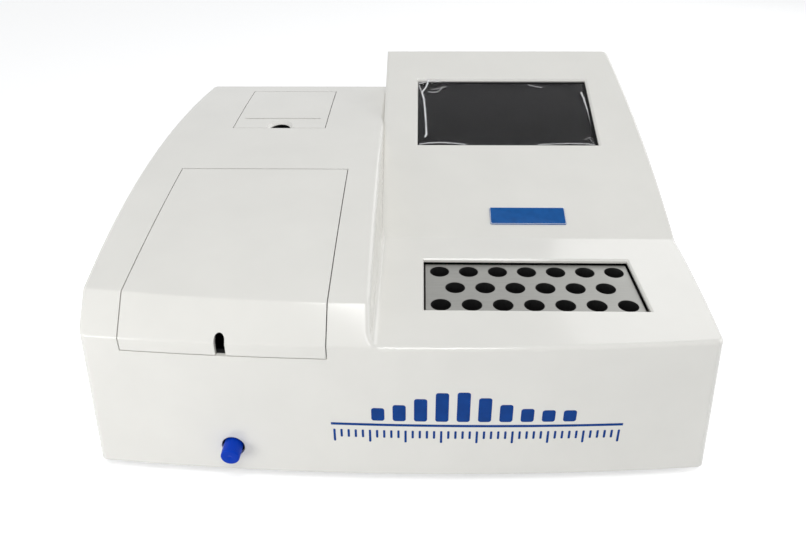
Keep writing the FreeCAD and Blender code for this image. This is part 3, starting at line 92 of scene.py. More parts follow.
# The screen film, and its creases from the window's lower left corner, each with its height as a share of
# the film's lift, its width and the whiteness of its painted highlight
FILM_THICKNESS = 0.09
CREASES = (
    ([(9.5, 86.0), (7.4, 80.0), (3.6, 71.5), (5.4, 62.0), (6.3, 48.0), (7.2, 30.0), (7.6, 14.0),
      (6.5, 11.0)], 0.9, 0.75, 1.0),
    ([(1.0, 82.0), (3.6, 71.5)], 0.5, 0.6, 0.55),
    ([(149.6, 72.0), (150.6, 64.0), (151.4, 55.0), (152.2, 44.0), (152.8, 25.0), (153.6, 14.0)],
     0.7, 0.7, 0.9),
    ([(150.6, 64.0), (153.5, 62.0)], 0.5, 0.5, 0.4),
    ([(2.0, 1.6), (9.0, 3.2), (19.0, 4.0), (30.0, 3.2), (41.0, 1.6)], 0.6, 0.55, 0.95),
    ([(104.0, 1.7), (118.0, 2.4), (132.0, 3.1), (146.0, 2.4), (152.0, 1.7)], 0.5, 0.5, 0.6),
    ([(13.0, 77.0), (20.0, 78.6), (26.0, 81.0)], 0.35, 0.8, 0.3),
    ([(102.0, 83.5), (108.0, 81.5), (114.0, 80.0)], 0.3, 0.6, 0.45),
    ([(9.5, 73.8), (13.0, 72.9), (18.5, 73.8)], 0.3, 0.55, 0.6),
    ([(19.0, 75.0), (21.0, 77.0), (22.5, 80.5)], 0.3, 0.5, 0.4),
    ([(144.0, 8.0), (148.5, 11.5), (150.5, 4.0)], 0.35, 0.5, 0.25),
    ([(0.8, 84.0), (12.0, 86.3), (26.0, 87.6), (34.0, 86.0)], 0.6, 0.7, 0.5),
)

# The stage
CAMERA_PLACE = (0.012381, -0.512632, 0.370883)
CAMERA_ANGLES = (31.915, 1.528, 0.414)   # pitch down, yaw to the left and roll, in degrees
CAMERA_LENS = 31.483
CAMERA_SENSOR = 36.0
FLOOR_REACH = 9000.0
FLOOR_GLOW = 0.52
WHITE = (1.0, 1.0, 1.0, 1.0)
LAMPS = (                                # name, place, target and width
    ("Key", (-0.80, -0.95, 0.50), (-0.10, -0.15, 0.08), 0.7),
    ("Top", (0.0, -0.75, 1.35), (0.0, 0.0, 0.1), 0.7),
    ("Back", (0.80, 1.10, 0.80), (0.05, 0.0, 0.12), 0.9),
    ("Right", (1.15, 0.05, 0.50), (0.0, -0.05, 0.12), 0.8),
    ("Low", (-0.62, -0.62, 0.17), (-0.15, -0.17, 0.06), 0.35),
)


# Places on the housing
def on_front(x, z, out):
    """The bowed front: an arc in plan whose chord widens and comes forward towards the table, moved out."""
    drop = DECK - z
    half = HALF_FRONT + SIDE_LEAN * drop
    radius = (half ** 2 + BOW ** 2) / (2 * BOW)
    centre = CORNER_Y - FRONT_LEAN * drop - BOW + radius
    y = centre - np.sqrt(radius ** 2 - x ** 2) - out
    return np.stack([x, y, z], axis=-1)


def on_tower(x, up, out):
    """The tower's sloping face: up runs up the slope from its foot line and out runs square to it."""
    y = FOOT_Y + up * math.cos(TOWER_ANGLE) - out * math.sin(TOWER_ANGLE)
    z = DECK + up * math.sin(TOWER_ANGLE) + out * math.cos(TOWER_ANGLE)
    return np.stack([x, y, z], axis=-1)


def in_mm(corners):
    """A frame box's low and high corners in millimetres."""
    return [np.array(corner) / MM for corner in corners]


# Meshes from arrays
def put(name, points, faces, smooth=40.0):
    """A mesh object at the origin from points in millimetres; edges over smooth degrees stay sharp."""
    mesh = bpy.data.meshes.new(name)
    mesh.from_pydata((np.asarray(points, float) * MM).tolist(), [], faces)
    mesh.validate()
    mesh.shade_smooth()
    mesh.set_sharp_from_angle(angle=math.radians(smooth))
    piece = bpy.data.objects.new(name, mesh)
    bpy.context.scene.collection.objects.link(piece)
    return piece


def grid_faces(rows, columns, wrap=False):
    """Quads of a grid of points, rows by columns; wrap joins the last column to the first."""
    row = np.arange(rows - 1)[:, None]
    column = np.arange(columns if wrap else columns - 1)[None, :]
    a = row * columns + column
    b = row * columns + (column + 1) % columns
    return np.stack([a, b, b + columns, a + columns], axis=-1).reshape(-1, 4).tolist()


def faces_with_middles(rings, sides):
    """Faces of closed rings with a middle point at each end; both middles follow the rings' points."""
    spokes = np.arange(sides)
    after = (spokes + 1) % sides
    last, middle = (rings - 1) * sides, rings * sides
    faces = grid_faces(rings, sides, wrap=True)
    faces += np.stack([after, spokes, np.full(sides, middle)], axis=-1).tolist()
    faces += np.stack([last + spokes, last + after, np.full(sides, middle + 1)], axis=-1).tolist()
    return faces


def faces_with_ends(rings, sides):
    """Faces of closed rings with one flat face at each end."""
    faces = grid_faces(rings, sides, wrap=True)
    faces.append(list(range(sides))[::-1])
    faces.append(list(range((rings - 1) * sides, rings * sides)))
    return faces


def turned(profile, centre, axis, sides):
    """A turned piece: a profile of (radius, distance along the axis) swung round it; both ends are on it."""
    profile = np.asarray(profile, float)
    centre = np.asarray(centre, float)
    axis = np.asarray(axis, float)
    across = np.array([0.0, 1.0, 0.0]) if axis[0] else np.array([1.0, 0.0, 0.0])
    side = np.cross(axis, across)
    angle = np.arange(sides) * 2 * math.pi / sides
    around = np.cos(angle)[:, None] * across + np.sin(angle)[:, None] * side
    rings = centre + profile[1:-1, None, 1:2] * axis + profile[1:-1, None, 0:1] * around[None]
    ends = [centre + profile[end, 1] * axis for end in (0, -1)]
    return np.concatenate([rings.reshape(-1, 3), ends]), faces_with_middles(len(profile) - 2, sides)


def rounded_rectangle(half_x, half_y, radius, per_corner=7):
    """Points round a rectangle with quarter-circle corners, anticlockwise."""
    turn = np.linspace(0, math.pi / 2, per_corner)
    corners = []
    for index, (side_x, side_y) in enumerate(((1, 1), (-1, 1), (-1, -1), (1, -1))):
        angle = turn + index * math.pi / 2
        corners.append(np.stack([
            side_x * (half_x - radius) + radius * np.cos(angle),
            side_y * (half_y - radius) + radius * np.sin(angle),
        ], axis=-1))
    return np.concatenate(corners)


def ring_on(outline, centre, grow, out, place):
    """The outline grown by grow on each side, moved to centre and put on a face at out by place."""
    reach = np.abs(outline).max(axis=0)
    grown = outline * (1 + grow / reach) + centre
    return place(grown[:, 0], grown[:, 1], np.full(len(grown), out))


def pad(outline, centre, steps, place):
    """A low closed pad: the outline drawn in by each step's inset at each step's height, on a face."""
    rings = [ring_on(outline, centre, -inset, height, place) for inset, height in steps]
    for _, height in (steps[0], steps[-1]):
        rings.append(place(np.array([centre[0]]), np.array([centre[1]]), np.array([height])))
    return np.concatenate(rings), faces_with_middles(len(steps), len(outline))


def carried(section, path, place):
    """A strip: a closed section of (across, out) carried along path, with flat ends, put on a face."""
    section = np.asarray(section, float)
    along = np.repeat(path, len(section))
    points = place(along, np.tile(section[:, 0], len(path)), np.tile(section[:, 1], len(path)))
    return points, faces_with_ends(len(path), len(section))


def looped(outline, centre, section, place):
    """A strip round a closed outline: a closed section of (across, out) carried along it, on a face."""
    rings = [ring_on(outline, centre, across, out, place) for across, out in section]
    count = len(outline)
    faces = grid_faces(len(section), count, wrap=True)
    last = (len(section) - 1) * count
    spokes = np.arange(count)
    after = (spokes + 1) % count
    faces += np.stack([last + spokes, last + after, after, spokes], axis=-1).tolist()
    return np.concatenate(rings), faces


def coiled(centre, start, end, radius, wire, turns):
    """A round wire wound about a line along Y: its middle keeps radius from it and climbs evenly to end."""
    sides, per_turn = 8, 28
    angle = np.linspace(0, 2 * math.pi * turns, turns * per_turn + 1)
    outward = np.stack([np.cos(angle), np.zeros_like(angle), np.sin(angle)], axis=-1)
    climb = (end - start) / angle[-1]
    along = np.stack([-radius * np.sin(angle), np.full_like(angle, climb), radius * np.cos(angle)], axis=-1)
    along /= np.linalg.norm(along, axis=-1, keepdims=True)
    middle = np.array([centre[0], start, centre[1]]) + radius * outward
    middle[:, 1] += climb * angle
    square = np.cross(along, outward)
    around = np.arange(sides) * 2 * math.pi / sides
    points = middle[:, None] + wire * (np.cos(around)[:, None] * outward[:, None]
                                       + np.sin(around)[:, None] * square[:, None])
    return points.reshape(-1, 3), [row[::-1] for row in faces_with_ends(len(angle), sides)]


def together(parts):
    """Several sets of points and faces as one."""
    points, faces, start = [], [], 0
    for some, rows in parts:
        points.append(some)
        faces += [[k + start for k in row] for row in rows]
        start += len(some)
    return np.concatenate(points), faces


def deeper_notch(points):
    """Draws the printer lid's finger notch back to one and a half times its depth; its width stays."""
    notch_reach, stretch, on_edge = 12.5, 0.55, 0.01
    low, high = in_mm(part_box("printer_lid"))
    across = points[:, 0] - (low[0] + high[0]) / 2
    back = points[:, 1] - low[1]
    near = (np.hypot(across, back) < notch_reach) & (back > on_edge)
    points[near, 1] += stretch * back[near]
    return points


def welded(node, name, reshape=None):
    """A copy of a frame node with its loose triangles joined at their corners, for smooth rounds."""
    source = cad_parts[node].data
    corners = np.zeros(len(source.vertices) * 3, np.float32)
    source.vertices.foreach_get("co", corners)
    corners = corners.reshape(-1, 3).astype(float)
    same_place = 2e-6
    _, first, back = np.unique(np.round(corners / same_place).astype(np.int64), axis=0, return_index=True,
                               return_inverse=True)
    loops = np.zeros(len(source.loops), np.int32)
    source.loops.foreach_get("vertex_index", loops)
    triangles = back.reshape(-1)[loops].reshape(-1, 3)
    different = (triangles[:, 0] != triangles[:, 1]) & (triangles[:, 1] != triangles[:, 2])
    different &= triangles[:, 0] != triangles[:, 2]
    points = corners[first] / MM
    piece = put(name, reshape(points) if reshape else points, triangles[different].tolist(), smooth=32.0)
    weigh = piece.modifiers.new("Face weights", "WEIGHTED_NORMAL")
    weigh.keep_sharp = True
    weigh.weight = 70
    return piece


# Shader maths
class Value:
    """One socket that takes part in sums: each operator puts a Math node behind it."""

    def __init__(self, finish, socket):
        self.finish = finish
        self.socket = socket

    def __add__(self, other):
        return self.finish.math("ADD", self, other)

    def __radd__(self, other):
        return self.finish.math("ADD", other, self)

    def __mul__(self, other):
        return self.finish.math("MULTIPLY", self, other)

    def __rmul__(self, other):
        return self.finish.math("MULTIPLY", other, self)


class Finish:
    """A node tree under construction: a new material's by that name, or a world's."""

    def __init__(self, owner):
        self.owner = bpy.data.materials.new(owner) if isinstance(owner, str) else owner
        self.owner.use_nodes = True
        self.tree = self.owner.node_tree
        self.tree.nodes.clear()

    def node(self, kind, settings=None, inputs=None, out=0):
        """Adds a shader node: its settings first, then the values or links of its sockets."""
        made = self.tree.nodes.new("ShaderNode" + kind)
        for key, value in (settings or {}).items():
            if key == "stops":
                self._stops(made.color_ramp, value)
            else:
                setattr(made, key, value)
        for key, value in (inputs or {}).items():
            if isinstance(value, Value):
                self.tree.links.new(value.socket, made.inputs[key])
            else:
                made.inputs[key].default_value = value
        return Value(self, made.outputs[out]) if made.outputs else None

    def math(self, operation, *values):
        """A Math node on one or two numbers."""
        return self.node("Math", {"operation": operation}, dict(enumerate(values)))

    def _stops(self, ramp, stops):
        while len(ramp.elements) < len(stops):
            ramp.elements.new(0.5)
        for element, (position, tone) in zip(ramp.elements, stops):
            element.position = position
            element.color = tone

    def place(self, scale=(1.0, 1.0, 1.0), centre=(0.0, 0.0, 0.0)):
        """Object coordinates in metres, moved to centre and stretched."""
        where = self.node("TexCoord", out="Object")
        moved = self.node("VectorMath", {"operation": "SUBTRACT"}, {0: where, 1: centre})
        return self.node("VectorMath", {"operation": "MULTIPLY"}, {0: moved, 1: scale})

    def noise(self, scale, detail=2.0, stretch=(1.0, 1.0, 1.0), rough=0.5):
        """Noise over the piece, closer by stretch along each axis."""
        inputs = {"Vector": self.place(stretch), "Scale": scale, "Detail": detail, "Roughness": rough}
        return self.node("TexNoise", None, inputs, "Fac")

    def blend(self, first, second, share):
        """Two colours mixed by share."""
        return self.node("Mix", {"data_type": "RGBA"}, {0: share, 6: colour(first), 7: colour(second)}, 2)

    def ramp(self, value, low, high):
        """value clipped and stretched so that low becomes 0 and high becomes 1."""
        return self.node("MapRange", {"clamp": True}, {"Value": value, "From Min": low, "From Max": high})

    def tones(self, tone, dark, light, value, low=0.3, high=0.7):
        """tone times dark where value is under low, times light where it is over high."""
        return self.blend(shade(tone, dark), shade(tone, light), self.ramp(value, low, high))

    def level(self, value, least, span, low=0.2, high=0.8):
        """least where value is under low, and span more where it is over high."""
        return self.ramp(value, low, high) * span + least

    def looked_at(self):
        """1 for what the camera, gloss or glass sees, and 0 for what only lights the scene."""
        camera, gloss, through = (self.node("LightPath", out="Is %s Ray" % kind)
                                  for kind in ("Camera", "Glossy", "Transmission"))
        return self.math("MAXIMUM", self.math("MAXIMUM", camera, gloss), through)

    def bump(self, height, distance, edge=0.0):
        """Relief from height; edge rounds the look of sharp edges by that radius."""
        inputs = {"Distance": distance, "Height": height}
        if edge:
            inputs["Normal"] = self.node("Bevel", {"samples": 6}, {"Radius": edge})
        return self.node("Bump", None, inputs, "Normal")

    def surface(self, **inputs):
        """The Principled shader with these sockets, as words with underscores for spaces."""
        named = {key.replace("_", " "): value for key, value in inputs.items()}
        named["Base Color"] = colour(named["Base Color"])
        return self.node("BsdfPrincipled", None, named, "BSDF")

    def done(self, shader, output="OutputMaterial"):
        """Puts the shader on the tree's output and gives back the material or world."""
        self.node(output, None, {"Surface": shader})
        return self.owner


def colour(value):
    """A colour with its alpha; a socket stays as it is."""
    if isinstance(value, Value) or len(value) == 4:
        return value
    return (*value, 1.0)


def shade(tone, factor):
    """A tone made darker or lighter, held to 1."""
    return tuple(min(1.0, part * factor) for part in tone[:3])


# Finishes
STEEL = (0.56, 0.55, 0.53)


def moulded_gloss(name, tone, low=0.11, high=0.19, coat=0.25, specular=0.5):
    """Polished moulding: faint cloudiness in the colour, handled spots in the gloss, a slow ripple."""
    f = Finish(name)
    cloud = f.noise(22.0, 3.0)
    fine = f.noise(900.0, 2.0)
    ripple = f.noise(38.0, 1.0)
    normal = f.bump(ripple * 0.9 + fine * 0.04, 0.00012, 0.0007)
    return f.done(f.surface(Base_Color=f.tones(tone, 0.975, 1.012, cloud), Normal=normal, IOR=1.5,
                            Roughness=f.level(f.noise(60.0, 4.0), low, high - low, 0.25, 0.8),
                            Coat_Weight=coat, Coat_Roughness=0.08, Specular_IOR_Level=specular))


def grained_plastic(name, tone, rough):
    """Spark-eroded plastic: a fine even grain with small changes of tone."""
    f = Finish(name)
    grains = f.noise(1400.0, 3.0)
    base = f.tones(tone, 0.88, 1.1, f.noise(30.0, 3.0), 0.25, 0.75)
    return f.done(f.surface(Base_Color=base, Roughness=f.level(grains, rough - 0.08, 0.16),
                            Normal=f.bump(grains, 0.00005)))


def brushed_metal(name, tone, stretch, rough):
    """Metal with grinding lines: noise drawn out along the brushing."""
    f = Finish(name)
    lines = f.noise(1.0, 4.0, stretch, 0.65)
    broad = f.noise(26.0, 2.0)
    roughness = f.ramp(lines, 0.2, 0.8) * 0.2 + f.level(broad, rough - 0.1, 0.06, 0.3, 0.7)
    return f.done(f.surface(Base_Color=f.tones(tone, 0.86, 1.06, lines, 0.25, 0.75), Metallic=1.0,
                            Roughness=roughness, Normal=f.bump(lines, 0.00002)))


def powder_coat(name, tone):
    """Baked powder paint: orange peel over a satin gloss."""
    f = Finish(name)
    peel = f.noise(520.0, 2.0)
    return f.done(f.surface(Base_Color=f.tones(tone, 0.95, 1.03, f.noise(18.0, 2.0)),
                            Roughness=f.level(peel, 0.38, 0.12), Normal=f.bump(peel, 0.00006)))


def black_glass(name):
    """The touch panel: black behind glass, with finger marks in the gloss."""
    f = Finish(name)
    marks = f.noise(55.0, 5.0, rough=0.7)
    base = f.blend((0.0015, 0.0015, 0.002), (0.004, 0.004, 0.005), f.ramp(f.noise(8.0), 0.3, 0.7))
    return f.done(f.surface(Base_Color=base, Roughness=f.level(marks, 0.04, 0.12, 0.45, 0.8),
                            Specular_IOR_Level=0.09))


def clear_film(name):
    """Clear protective film: see-through, with a white painted highlight where the attribute crease is high.
    """
    f = Finish(name)
    crease = f.node("Attribute", {"attribute_name": "crease"}, out="Fac")
    haze = f.noise(75.0, 4.0)
    ripple = f.noise(48.0, 2.0, (1.0, 0.5, 1.0))
    clear = f.surface(Base_Color=(0.97, 0.97, 0.98), Roughness=f.level(haze, 0.02, 0.08, 0.3, 0.9),
                      Transmission_Weight=1.0, IOR=1.16, Normal=f.bump(ripple, 0.0003))
    painted_highlight_shader = f.surface(Base_Color=f.blend((0.75, 0.76, 0.77), (0.98, 0.98, 0.99), haze), Roughness=0.3)
    # The attribute crease mixes a white painted highlight over the clear film along the creases
    share = f.ramp(crease * (0.75 + 0.5 * haze), 0.05, 1.0)
    return f.done(f.node("MixShader", None, {0: share, 1: clear, 2: painted_highlight_shader}, "Shader"))


def rubber(name, tone=(0.022, 0.022, 0.023)):
    """Dull rubber with a greyish bloom."""
    f = Finish(name)
    bloom = f.noise(120.0, 4.0)
    return f.done(f.surface(Base_Color=f.tones(tone, 0.8, 1.9, bloom, 0.35, 0.8),
                            Roughness=f.level(bloom, 0.68, 0.15), Normal=f.bump(f.noise(1500.0), 0.00005)))


def anodised_black(name):
    """Dyed anodising inside the wells."""
    f = Finish(name)
    speck = f.noise(700.0, 3.0)
    base = f.blend((0.0015, 0.0015, 0.0015), (0.006, 0.006, 0.006), speck)
    return f.done(f.surface(Base_Color=base, Roughness=f.level(speck, 0.5, 0.1)))


def circuit_board(name):
    """Green solder mask over copper tracks: brick-like tracks and pads."""
    f = Finish(name)
    where = f.place()
    tracks = f.node("TexBrick", {"offset": 0.5}, {"Vector": where, "Scale": 95.0, "Mortar Size": 0.022},
                    "Fac")
    pads = f.node("TexVoronoi", None, {"Vector": where, "Scale": 210.0}, "Distance")
    green = f.blend((0.006, 0.075, 0.028), (0.014, 0.13, 0.045), tracks)
    base = f.blend((0.55, 0.42, 0.18), green, f.ramp(pads, 0.1, 0.16))
    return f.done(f.surface(Base_Color=base, Roughness=f.level(f.noise(300.0), 0.28, 0.1),
                            Normal=f.bump(tracks, 0.00005)))


def paper_roll_finish(name, centre):
    """Thermal paper: its layers show as rings on the ends, and fibres on the face."""
    f = Finish(name)
    flat = f.place((0.0, 1.0, 1.0), centre)
    radius = f.node("VectorMath", {"operation": "LENGTH"}, {0: flat}, "Value")
    rings = f.math("SINE", radius * 52000.0)
    fibre = f.noise(800.0, 4.0)
    base = f.blend((0.80, 0.80, 0.77), (0.90, 0.90, 0.88), f.ramp(rings * 0.4 + fibre, 0.2, 0.9))
    return f.done(f.surface(Base_Color=base, Roughness=f.level(fibre, 0.7, 0.1),
                            Normal=f.bump(fibre, 0.00003)))


def soft_tube(name):
    """Milky silicone."""
    f = Finish(name)
    cloud = f.noise(90.0, 2.0)
    base = f.blend((0.68, 0.68, 0.62), (0.85, 0.84, 0.80), cloud)
    return f.done(f.surface(Base_Color=base, Roughness=f.level(cloud, 0.32, 0.1), Subsurface_Weight=0.3,
                            Subsurface_Scale=0.002))


def clear_lens(name):
    """Clear glass with a little dust."""
    f = Finish(name)
    tint = (0.96, 0.97, 1.0)
    dust = f.noise(260.0, 4.0)
    return f.done(f.surface(Base_Color=f.blend(shade(tint, 0.97), tint, dust), Transmission_Weight=1.0,
                            IOR=1.48, Roughness=f.level(dust, 0.01, 0.06, 0.5, 0.9)))


def coated_filter(name):
    """Interference coating: its colour shifts across the wheel."""
    f = Finish(name)
    sweep = f.ramp(f.noise(14.0, 1.0), 0.3, 0.7)
    stops = [(0.0, (0.30, 0.06, 0.32, 1)), (0.5, (0.10, 0.22, 0.5, 1)), (1.0, (0.45, 0.30, 0.05, 1))]
    base = f.node("ValToRGB", {"stops": stops}, {0: sweep}, "Color")
    return f.done(f.surface(Base_Color=base, Metallic=0.7, Roughness=f.level(f.noise(300.0), 0.07, 0.05)))


def heater_mat(name):
    """Etched-foil heater: the winding shows through amber film."""
    f = Finish(name)
    bands = {"wave_type": "BANDS", "bands_direction": "X"}
    wave = f.node("TexWave", bands, {"Vector": f.place(), "Scale": 60.0, "Distortion": 0.6}, "Fac")
    track = f.ramp(wave, 0.45, 0.55)
    base = f.blend((0.42, 0.13, 0.015), (0.62, 0.28, 0.08), track)
    return f.done(f.surface(Base_Color=base, Roughness=f.level(f.noise(200.0), 0.25, 0.1),
                            Normal=f.bump(track, 0.00004)))


def enamel(name, tone, rough, specular=0.4):
    """Screen-printed or stove enamel: flat colour with a slight flow in the gloss."""
    f = Finish(name)
    flow = f.noise(160.0, 3.0)
    return f.done(f.surface(Base_Color=f.tones(tone, 0.9, 1.1, flow), Specular_IOR_Level=specular,
                            Roughness=f.level(flow, rough - 0.05, 0.1),
                            Normal=f.bump(f.noise(1100.0), 0.00002)))


def dress(material, *pieces):
    """Gives pieces this material alone."""
    for piece in pieces:
        piece.data.materials.clear()
        piece.data.materials.append(material)


def dress_nodes(material, *names):
    dress(material, *[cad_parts[name] for name in names])


# Settings
def tone_setting(name, description, tone):
    return bpy.props.FloatVectorProperty(name=name, description=description, subtype="COLOR", size=3,
                                         min=0.0, max=1.0, default=tone)


def length_setting(name, description, metres):
    return bpy.props.FloatProperty(name=name, description=description, unit="LENGTH", default=metres)


def power_setting(name, description, watts):
    return bpy.props.FloatProperty(name=name, description=description, unit="POWER", min=0.0, default=watts)


class AnalyzerFinishes(bpy.types.PropertyGroup):
    """Colours that a user would change."""

    housing: tone_setting("Housing", "Colour of the glossy mouldings", (0.815, 0.802, 0.757))
    inner: tone_setting("Trays", "Colour of the trays under the lids", (0.022, 0.022, 0.024))
    button: tone_setting("Button", "Colour of the push button", (0.0, 0.042, 0.46))
    plate: tone_setting("Plate", "Colour of the bare name plate", (0.006, 0.09, 0.32))
    print_ink: tone_setting("Print", "Colour of the marks on the front", (0.004, 0.05, 0.25))
    block: tone_setting("Block", "Colour of the incubator block's metal", (0.33, 0.33, 0.315))


class AnalyzerSizes(bpy.types.PropertyGroup):
    """Sizes of the pieces that are made here, in metres."""

    plate_width: length_setting("Plate width", "Width of the bare name plate", 0.0588)
    plate_height: length_setting("Plate height", "Height of the bare name plate up the slope", 0.0176)
    plate_thickness: length_setting("Plate thickness", "Thickness of the bare name plate", 0.0009)
    rule_width: length_setting("Rule width", "Height of the printed rule on the front", 0.0019)
    film_lift: length_setting("Film lift", "How far the screen film's creases stand up", 0.0016)
    liner_wall: length_setting("Liner wall", "Wall of the dark liner in each well", 0.00028)


class AnalyzerStage(bpy.types.PropertyGroup):
    """Light levels of the stage."""

    world: bpy.props.FloatProperty(
        name="World", description="Strength of the even surrounding light", min=0.0, default=0.45)
    key: power_setting("Key", "Power of the soft lamp at the front left", 0.7)
    top: power_setting("Top", "Power of the large lamp overhead", 7.3)
    back: power_setting("Back", "Power of the soft lamp at the back right", 2.2)
    right: power_setting("Right", "Power of the soft lamp on the right", 2.4)
    low: power_setting("Low", "Power of the small lamp low at the front left", 1.3)


# Operators
class ANALYZER_OT_mouldings(bpy.types.Operator):
    """The glossy white housing and its two lids, smoothed over their rounds"""

    bl_idname = "analyzer.mouldings"
    bl_label = "Mouldings"

    def execute(self, context):
        white = moulded_gloss("Moulded white", context.scene.analyzer_finishes.housing)
        for node, body, reshape in (("upper_housing", "root", None), ("sample_lid", "sample_lid", None),
                                    ("printer_lid", "printer_lid", deeper_notch)):
            piece = welded(node, node + "_moulding", reshape)
            dress(white, piece)
            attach(piece, body)
            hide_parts(node)
        return {"FINISHED"}


def polyline_distance(x, y, points):
    """Least distance from each grid point to the straight pieces between the points."""
    best = np.full(x.shape, np.inf)
    for (x0, y0), (x1, y1) in zip(points[:-1], points[1:]):
        dx, dy = x1 - x0, y1 - y0
        share = np.clip(((x - x0) * dx + (y - y0) * dy) / (dx * dx + dy * dy), 0, 1)
        best = np.minimum(best, np.hypot(x - x0 - share * dx, y - y0 - share * dy))
    return best


def film_grid(wide, tall):
    """Places over the window: an even grid whose top edge dips by a quartic bell away from its left end."""
    rows, columns = 181, 311
    margin, right_gap, top_gap, corner_rise, corner_reach = 0.5, 3.0, 4.4, 4.0, 27.0
    across = np.linspace(margin, wide - right_gap, columns)
    top = tall - top_gap + corner_rise * np.exp(-(across / corner_reach) ** 4)
    x = np.broadcast_to(across, (rows, columns))
    y = margin + np.linspace(0, 1, rows)[:, None] * (top - margin)
    return x, y, top


def film_slack(x, y, top):
    """Height off the glass, of waves, raised edges and a curl over the window's brim.

    A sine runs in both directions, and a slanting one over it. The edges rise exponentially. The curl at the
    loose upper left corner is a cone to the power of one and a half.
    """
    slack, wave, wave_x, wave_y, wave_start = 0.30, 0.12, 9.1, 7.3, 0.6
    ripple, ripple_x, ripple_y = 0.05, 3.7, 5.9
    edge_lift, edge_reach = 0.55, 3.0
    curl_middle, curl_length, curl_depth, curl_height = 10.0, 24.0, 9.0, 3.2
    height = slack + wave * np.sin(x / wave_x + wave_start) * np.sin(y / wave_y)
    height += ripple * np.sin(x / ripple_x + y / ripple_y)
    edge = np.minimum(np.minimum(x, x[0, -1] - x), np.minimum(y, top - y))
    height += edge_lift * np.exp(-edge / edge_reach)
    curl = np.clip(1 - np.hypot((x - curl_middle) / curl_length, (y - top[0]) / curl_depth), 0, 1)
    return height + curl_height * curl ** 1.5


def film_creases(x, y, lift):
    """Each crease's ridge, exponential in the distance from its line, and its painted highlight's whiteness,
    a bell of it.
    """
    ridge, highlight_reach = 1.6, 0.8
    height, painted_highlight = np.zeros(x.shape), np.zeros(x.shape)
    # white is the strength of the painted highlight along each crease
    for points, share, width, white in CREASES:
        away = polyline_distance(x, y, points)
        height += lift * share * np.exp(-away / (ridge * width))
        painted_highlight = np.maximum(painted_highlight, white * np.exp(-(away / (highlight_reach * width)) ** 2))
    return height, painted_highlight


class ANALYZER_OT_screen(bpy.types.Operator):
    """The touch glass and the creased clear film that still covers it"""

    bl_idname = "analyzer.screen"
    bl_label = "Screen"

    def execute(self, context):
        dress_nodes(black_glass("Touch glass"), "touch_glass")
        left, right, low, high = WINDOW
        x, y, top = film_grid(right - left, high - low)
        ridges, painted_highlight = film_creases(x, y, context.scene.analyzer_sizes.film_lift / MM)
        height = film_slack(x, y, top) + ridges
        points = on_tower(x.ravel() + left, y.ravel() + low, height.ravel() - SKIN)
        film = put("screen_film_sheet", points, grid_faces(*x.shape), smooth=80.0)
        # The attribute crease holds the painted highlight along the creases
        mark = film.data.attributes.new("crease", "FLOAT", "POINT")
        mark.data.foreach_set("value", painted_highlight.ravel().astype(np.float32))
        solid = film.modifiers.new("Film", "SOLIDIFY")
        solid.thickness = FILM_THICKNESS * MM
        solid.offset = 0.0
        dress(clear_film("Clear film"), film)
        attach(film, "root")
        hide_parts("screen_film")
        return {"FINISHED"}


class ANALYZER_OT_plate(bpy.types.Operator):
    """The bare blue plate on the tower, with its bright border"""

    bl_idname = "analyzer.plate"
    bl_label = "Name plate"

    def execute(self, context):
        sizes = context.scene.analyzer_sizes
        half_x = sizes.plate_width / MM / 2
        half_y = sizes.plate_height / MM / 2
        thick = sizes.plate_thickness / MM
        middle, foot, corner = 97.0, 13.8, 1.2
        centre = (middle, foot + half_y)
        # Up the side, over the rounded edge, across the rim and down a small step to the face
        sunk, edge, rim, step = 0.2, 0.25, 0.7, 0.16
        steps = [(0.0, -sunk), (0.0, thick - edge), (0.08, thick - 0.07), (edge, thick), (rim, thick),
                 (rim + 0.08, thick - 0.12), (rim + 0.2, thick - step)]
        plate = put("name_plate", *pad(rounded_rectangle(half_x, half_y, corner), centre, steps, on_tower))
        dress(enamel("Plate blue", context.scene.analyzer_finishes.plate, 0.4, 0.15), plate)
        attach(plate, "root")
        border_corner, wide, crest, proud = 0.9, 0.16, 0.11, 0.05
        border = rounded_rectangle(half_x - rim / 2, half_y - rim / 2, border_corner)
        section = [(wide, thick), (crest, thick + proud), (-crest, thick + proud), (-wide, thick)]
        line = put("name_plate_border", *looped(border, centre, section, on_tower))
        dress(brushed_metal("Border silver", (0.78, 0.80, 0.84), (400.0, 30.0, 400.0), 0.3), line)
        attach(line, "root")
        return {"FINISHED"}


def ruled(x, z, out):
    """Places on the front by their height over the sloping rule."""
    return on_front(x, z + PRINT_HEIGHT - PRINT_FALL * (x - PRINT_LEFT), out)


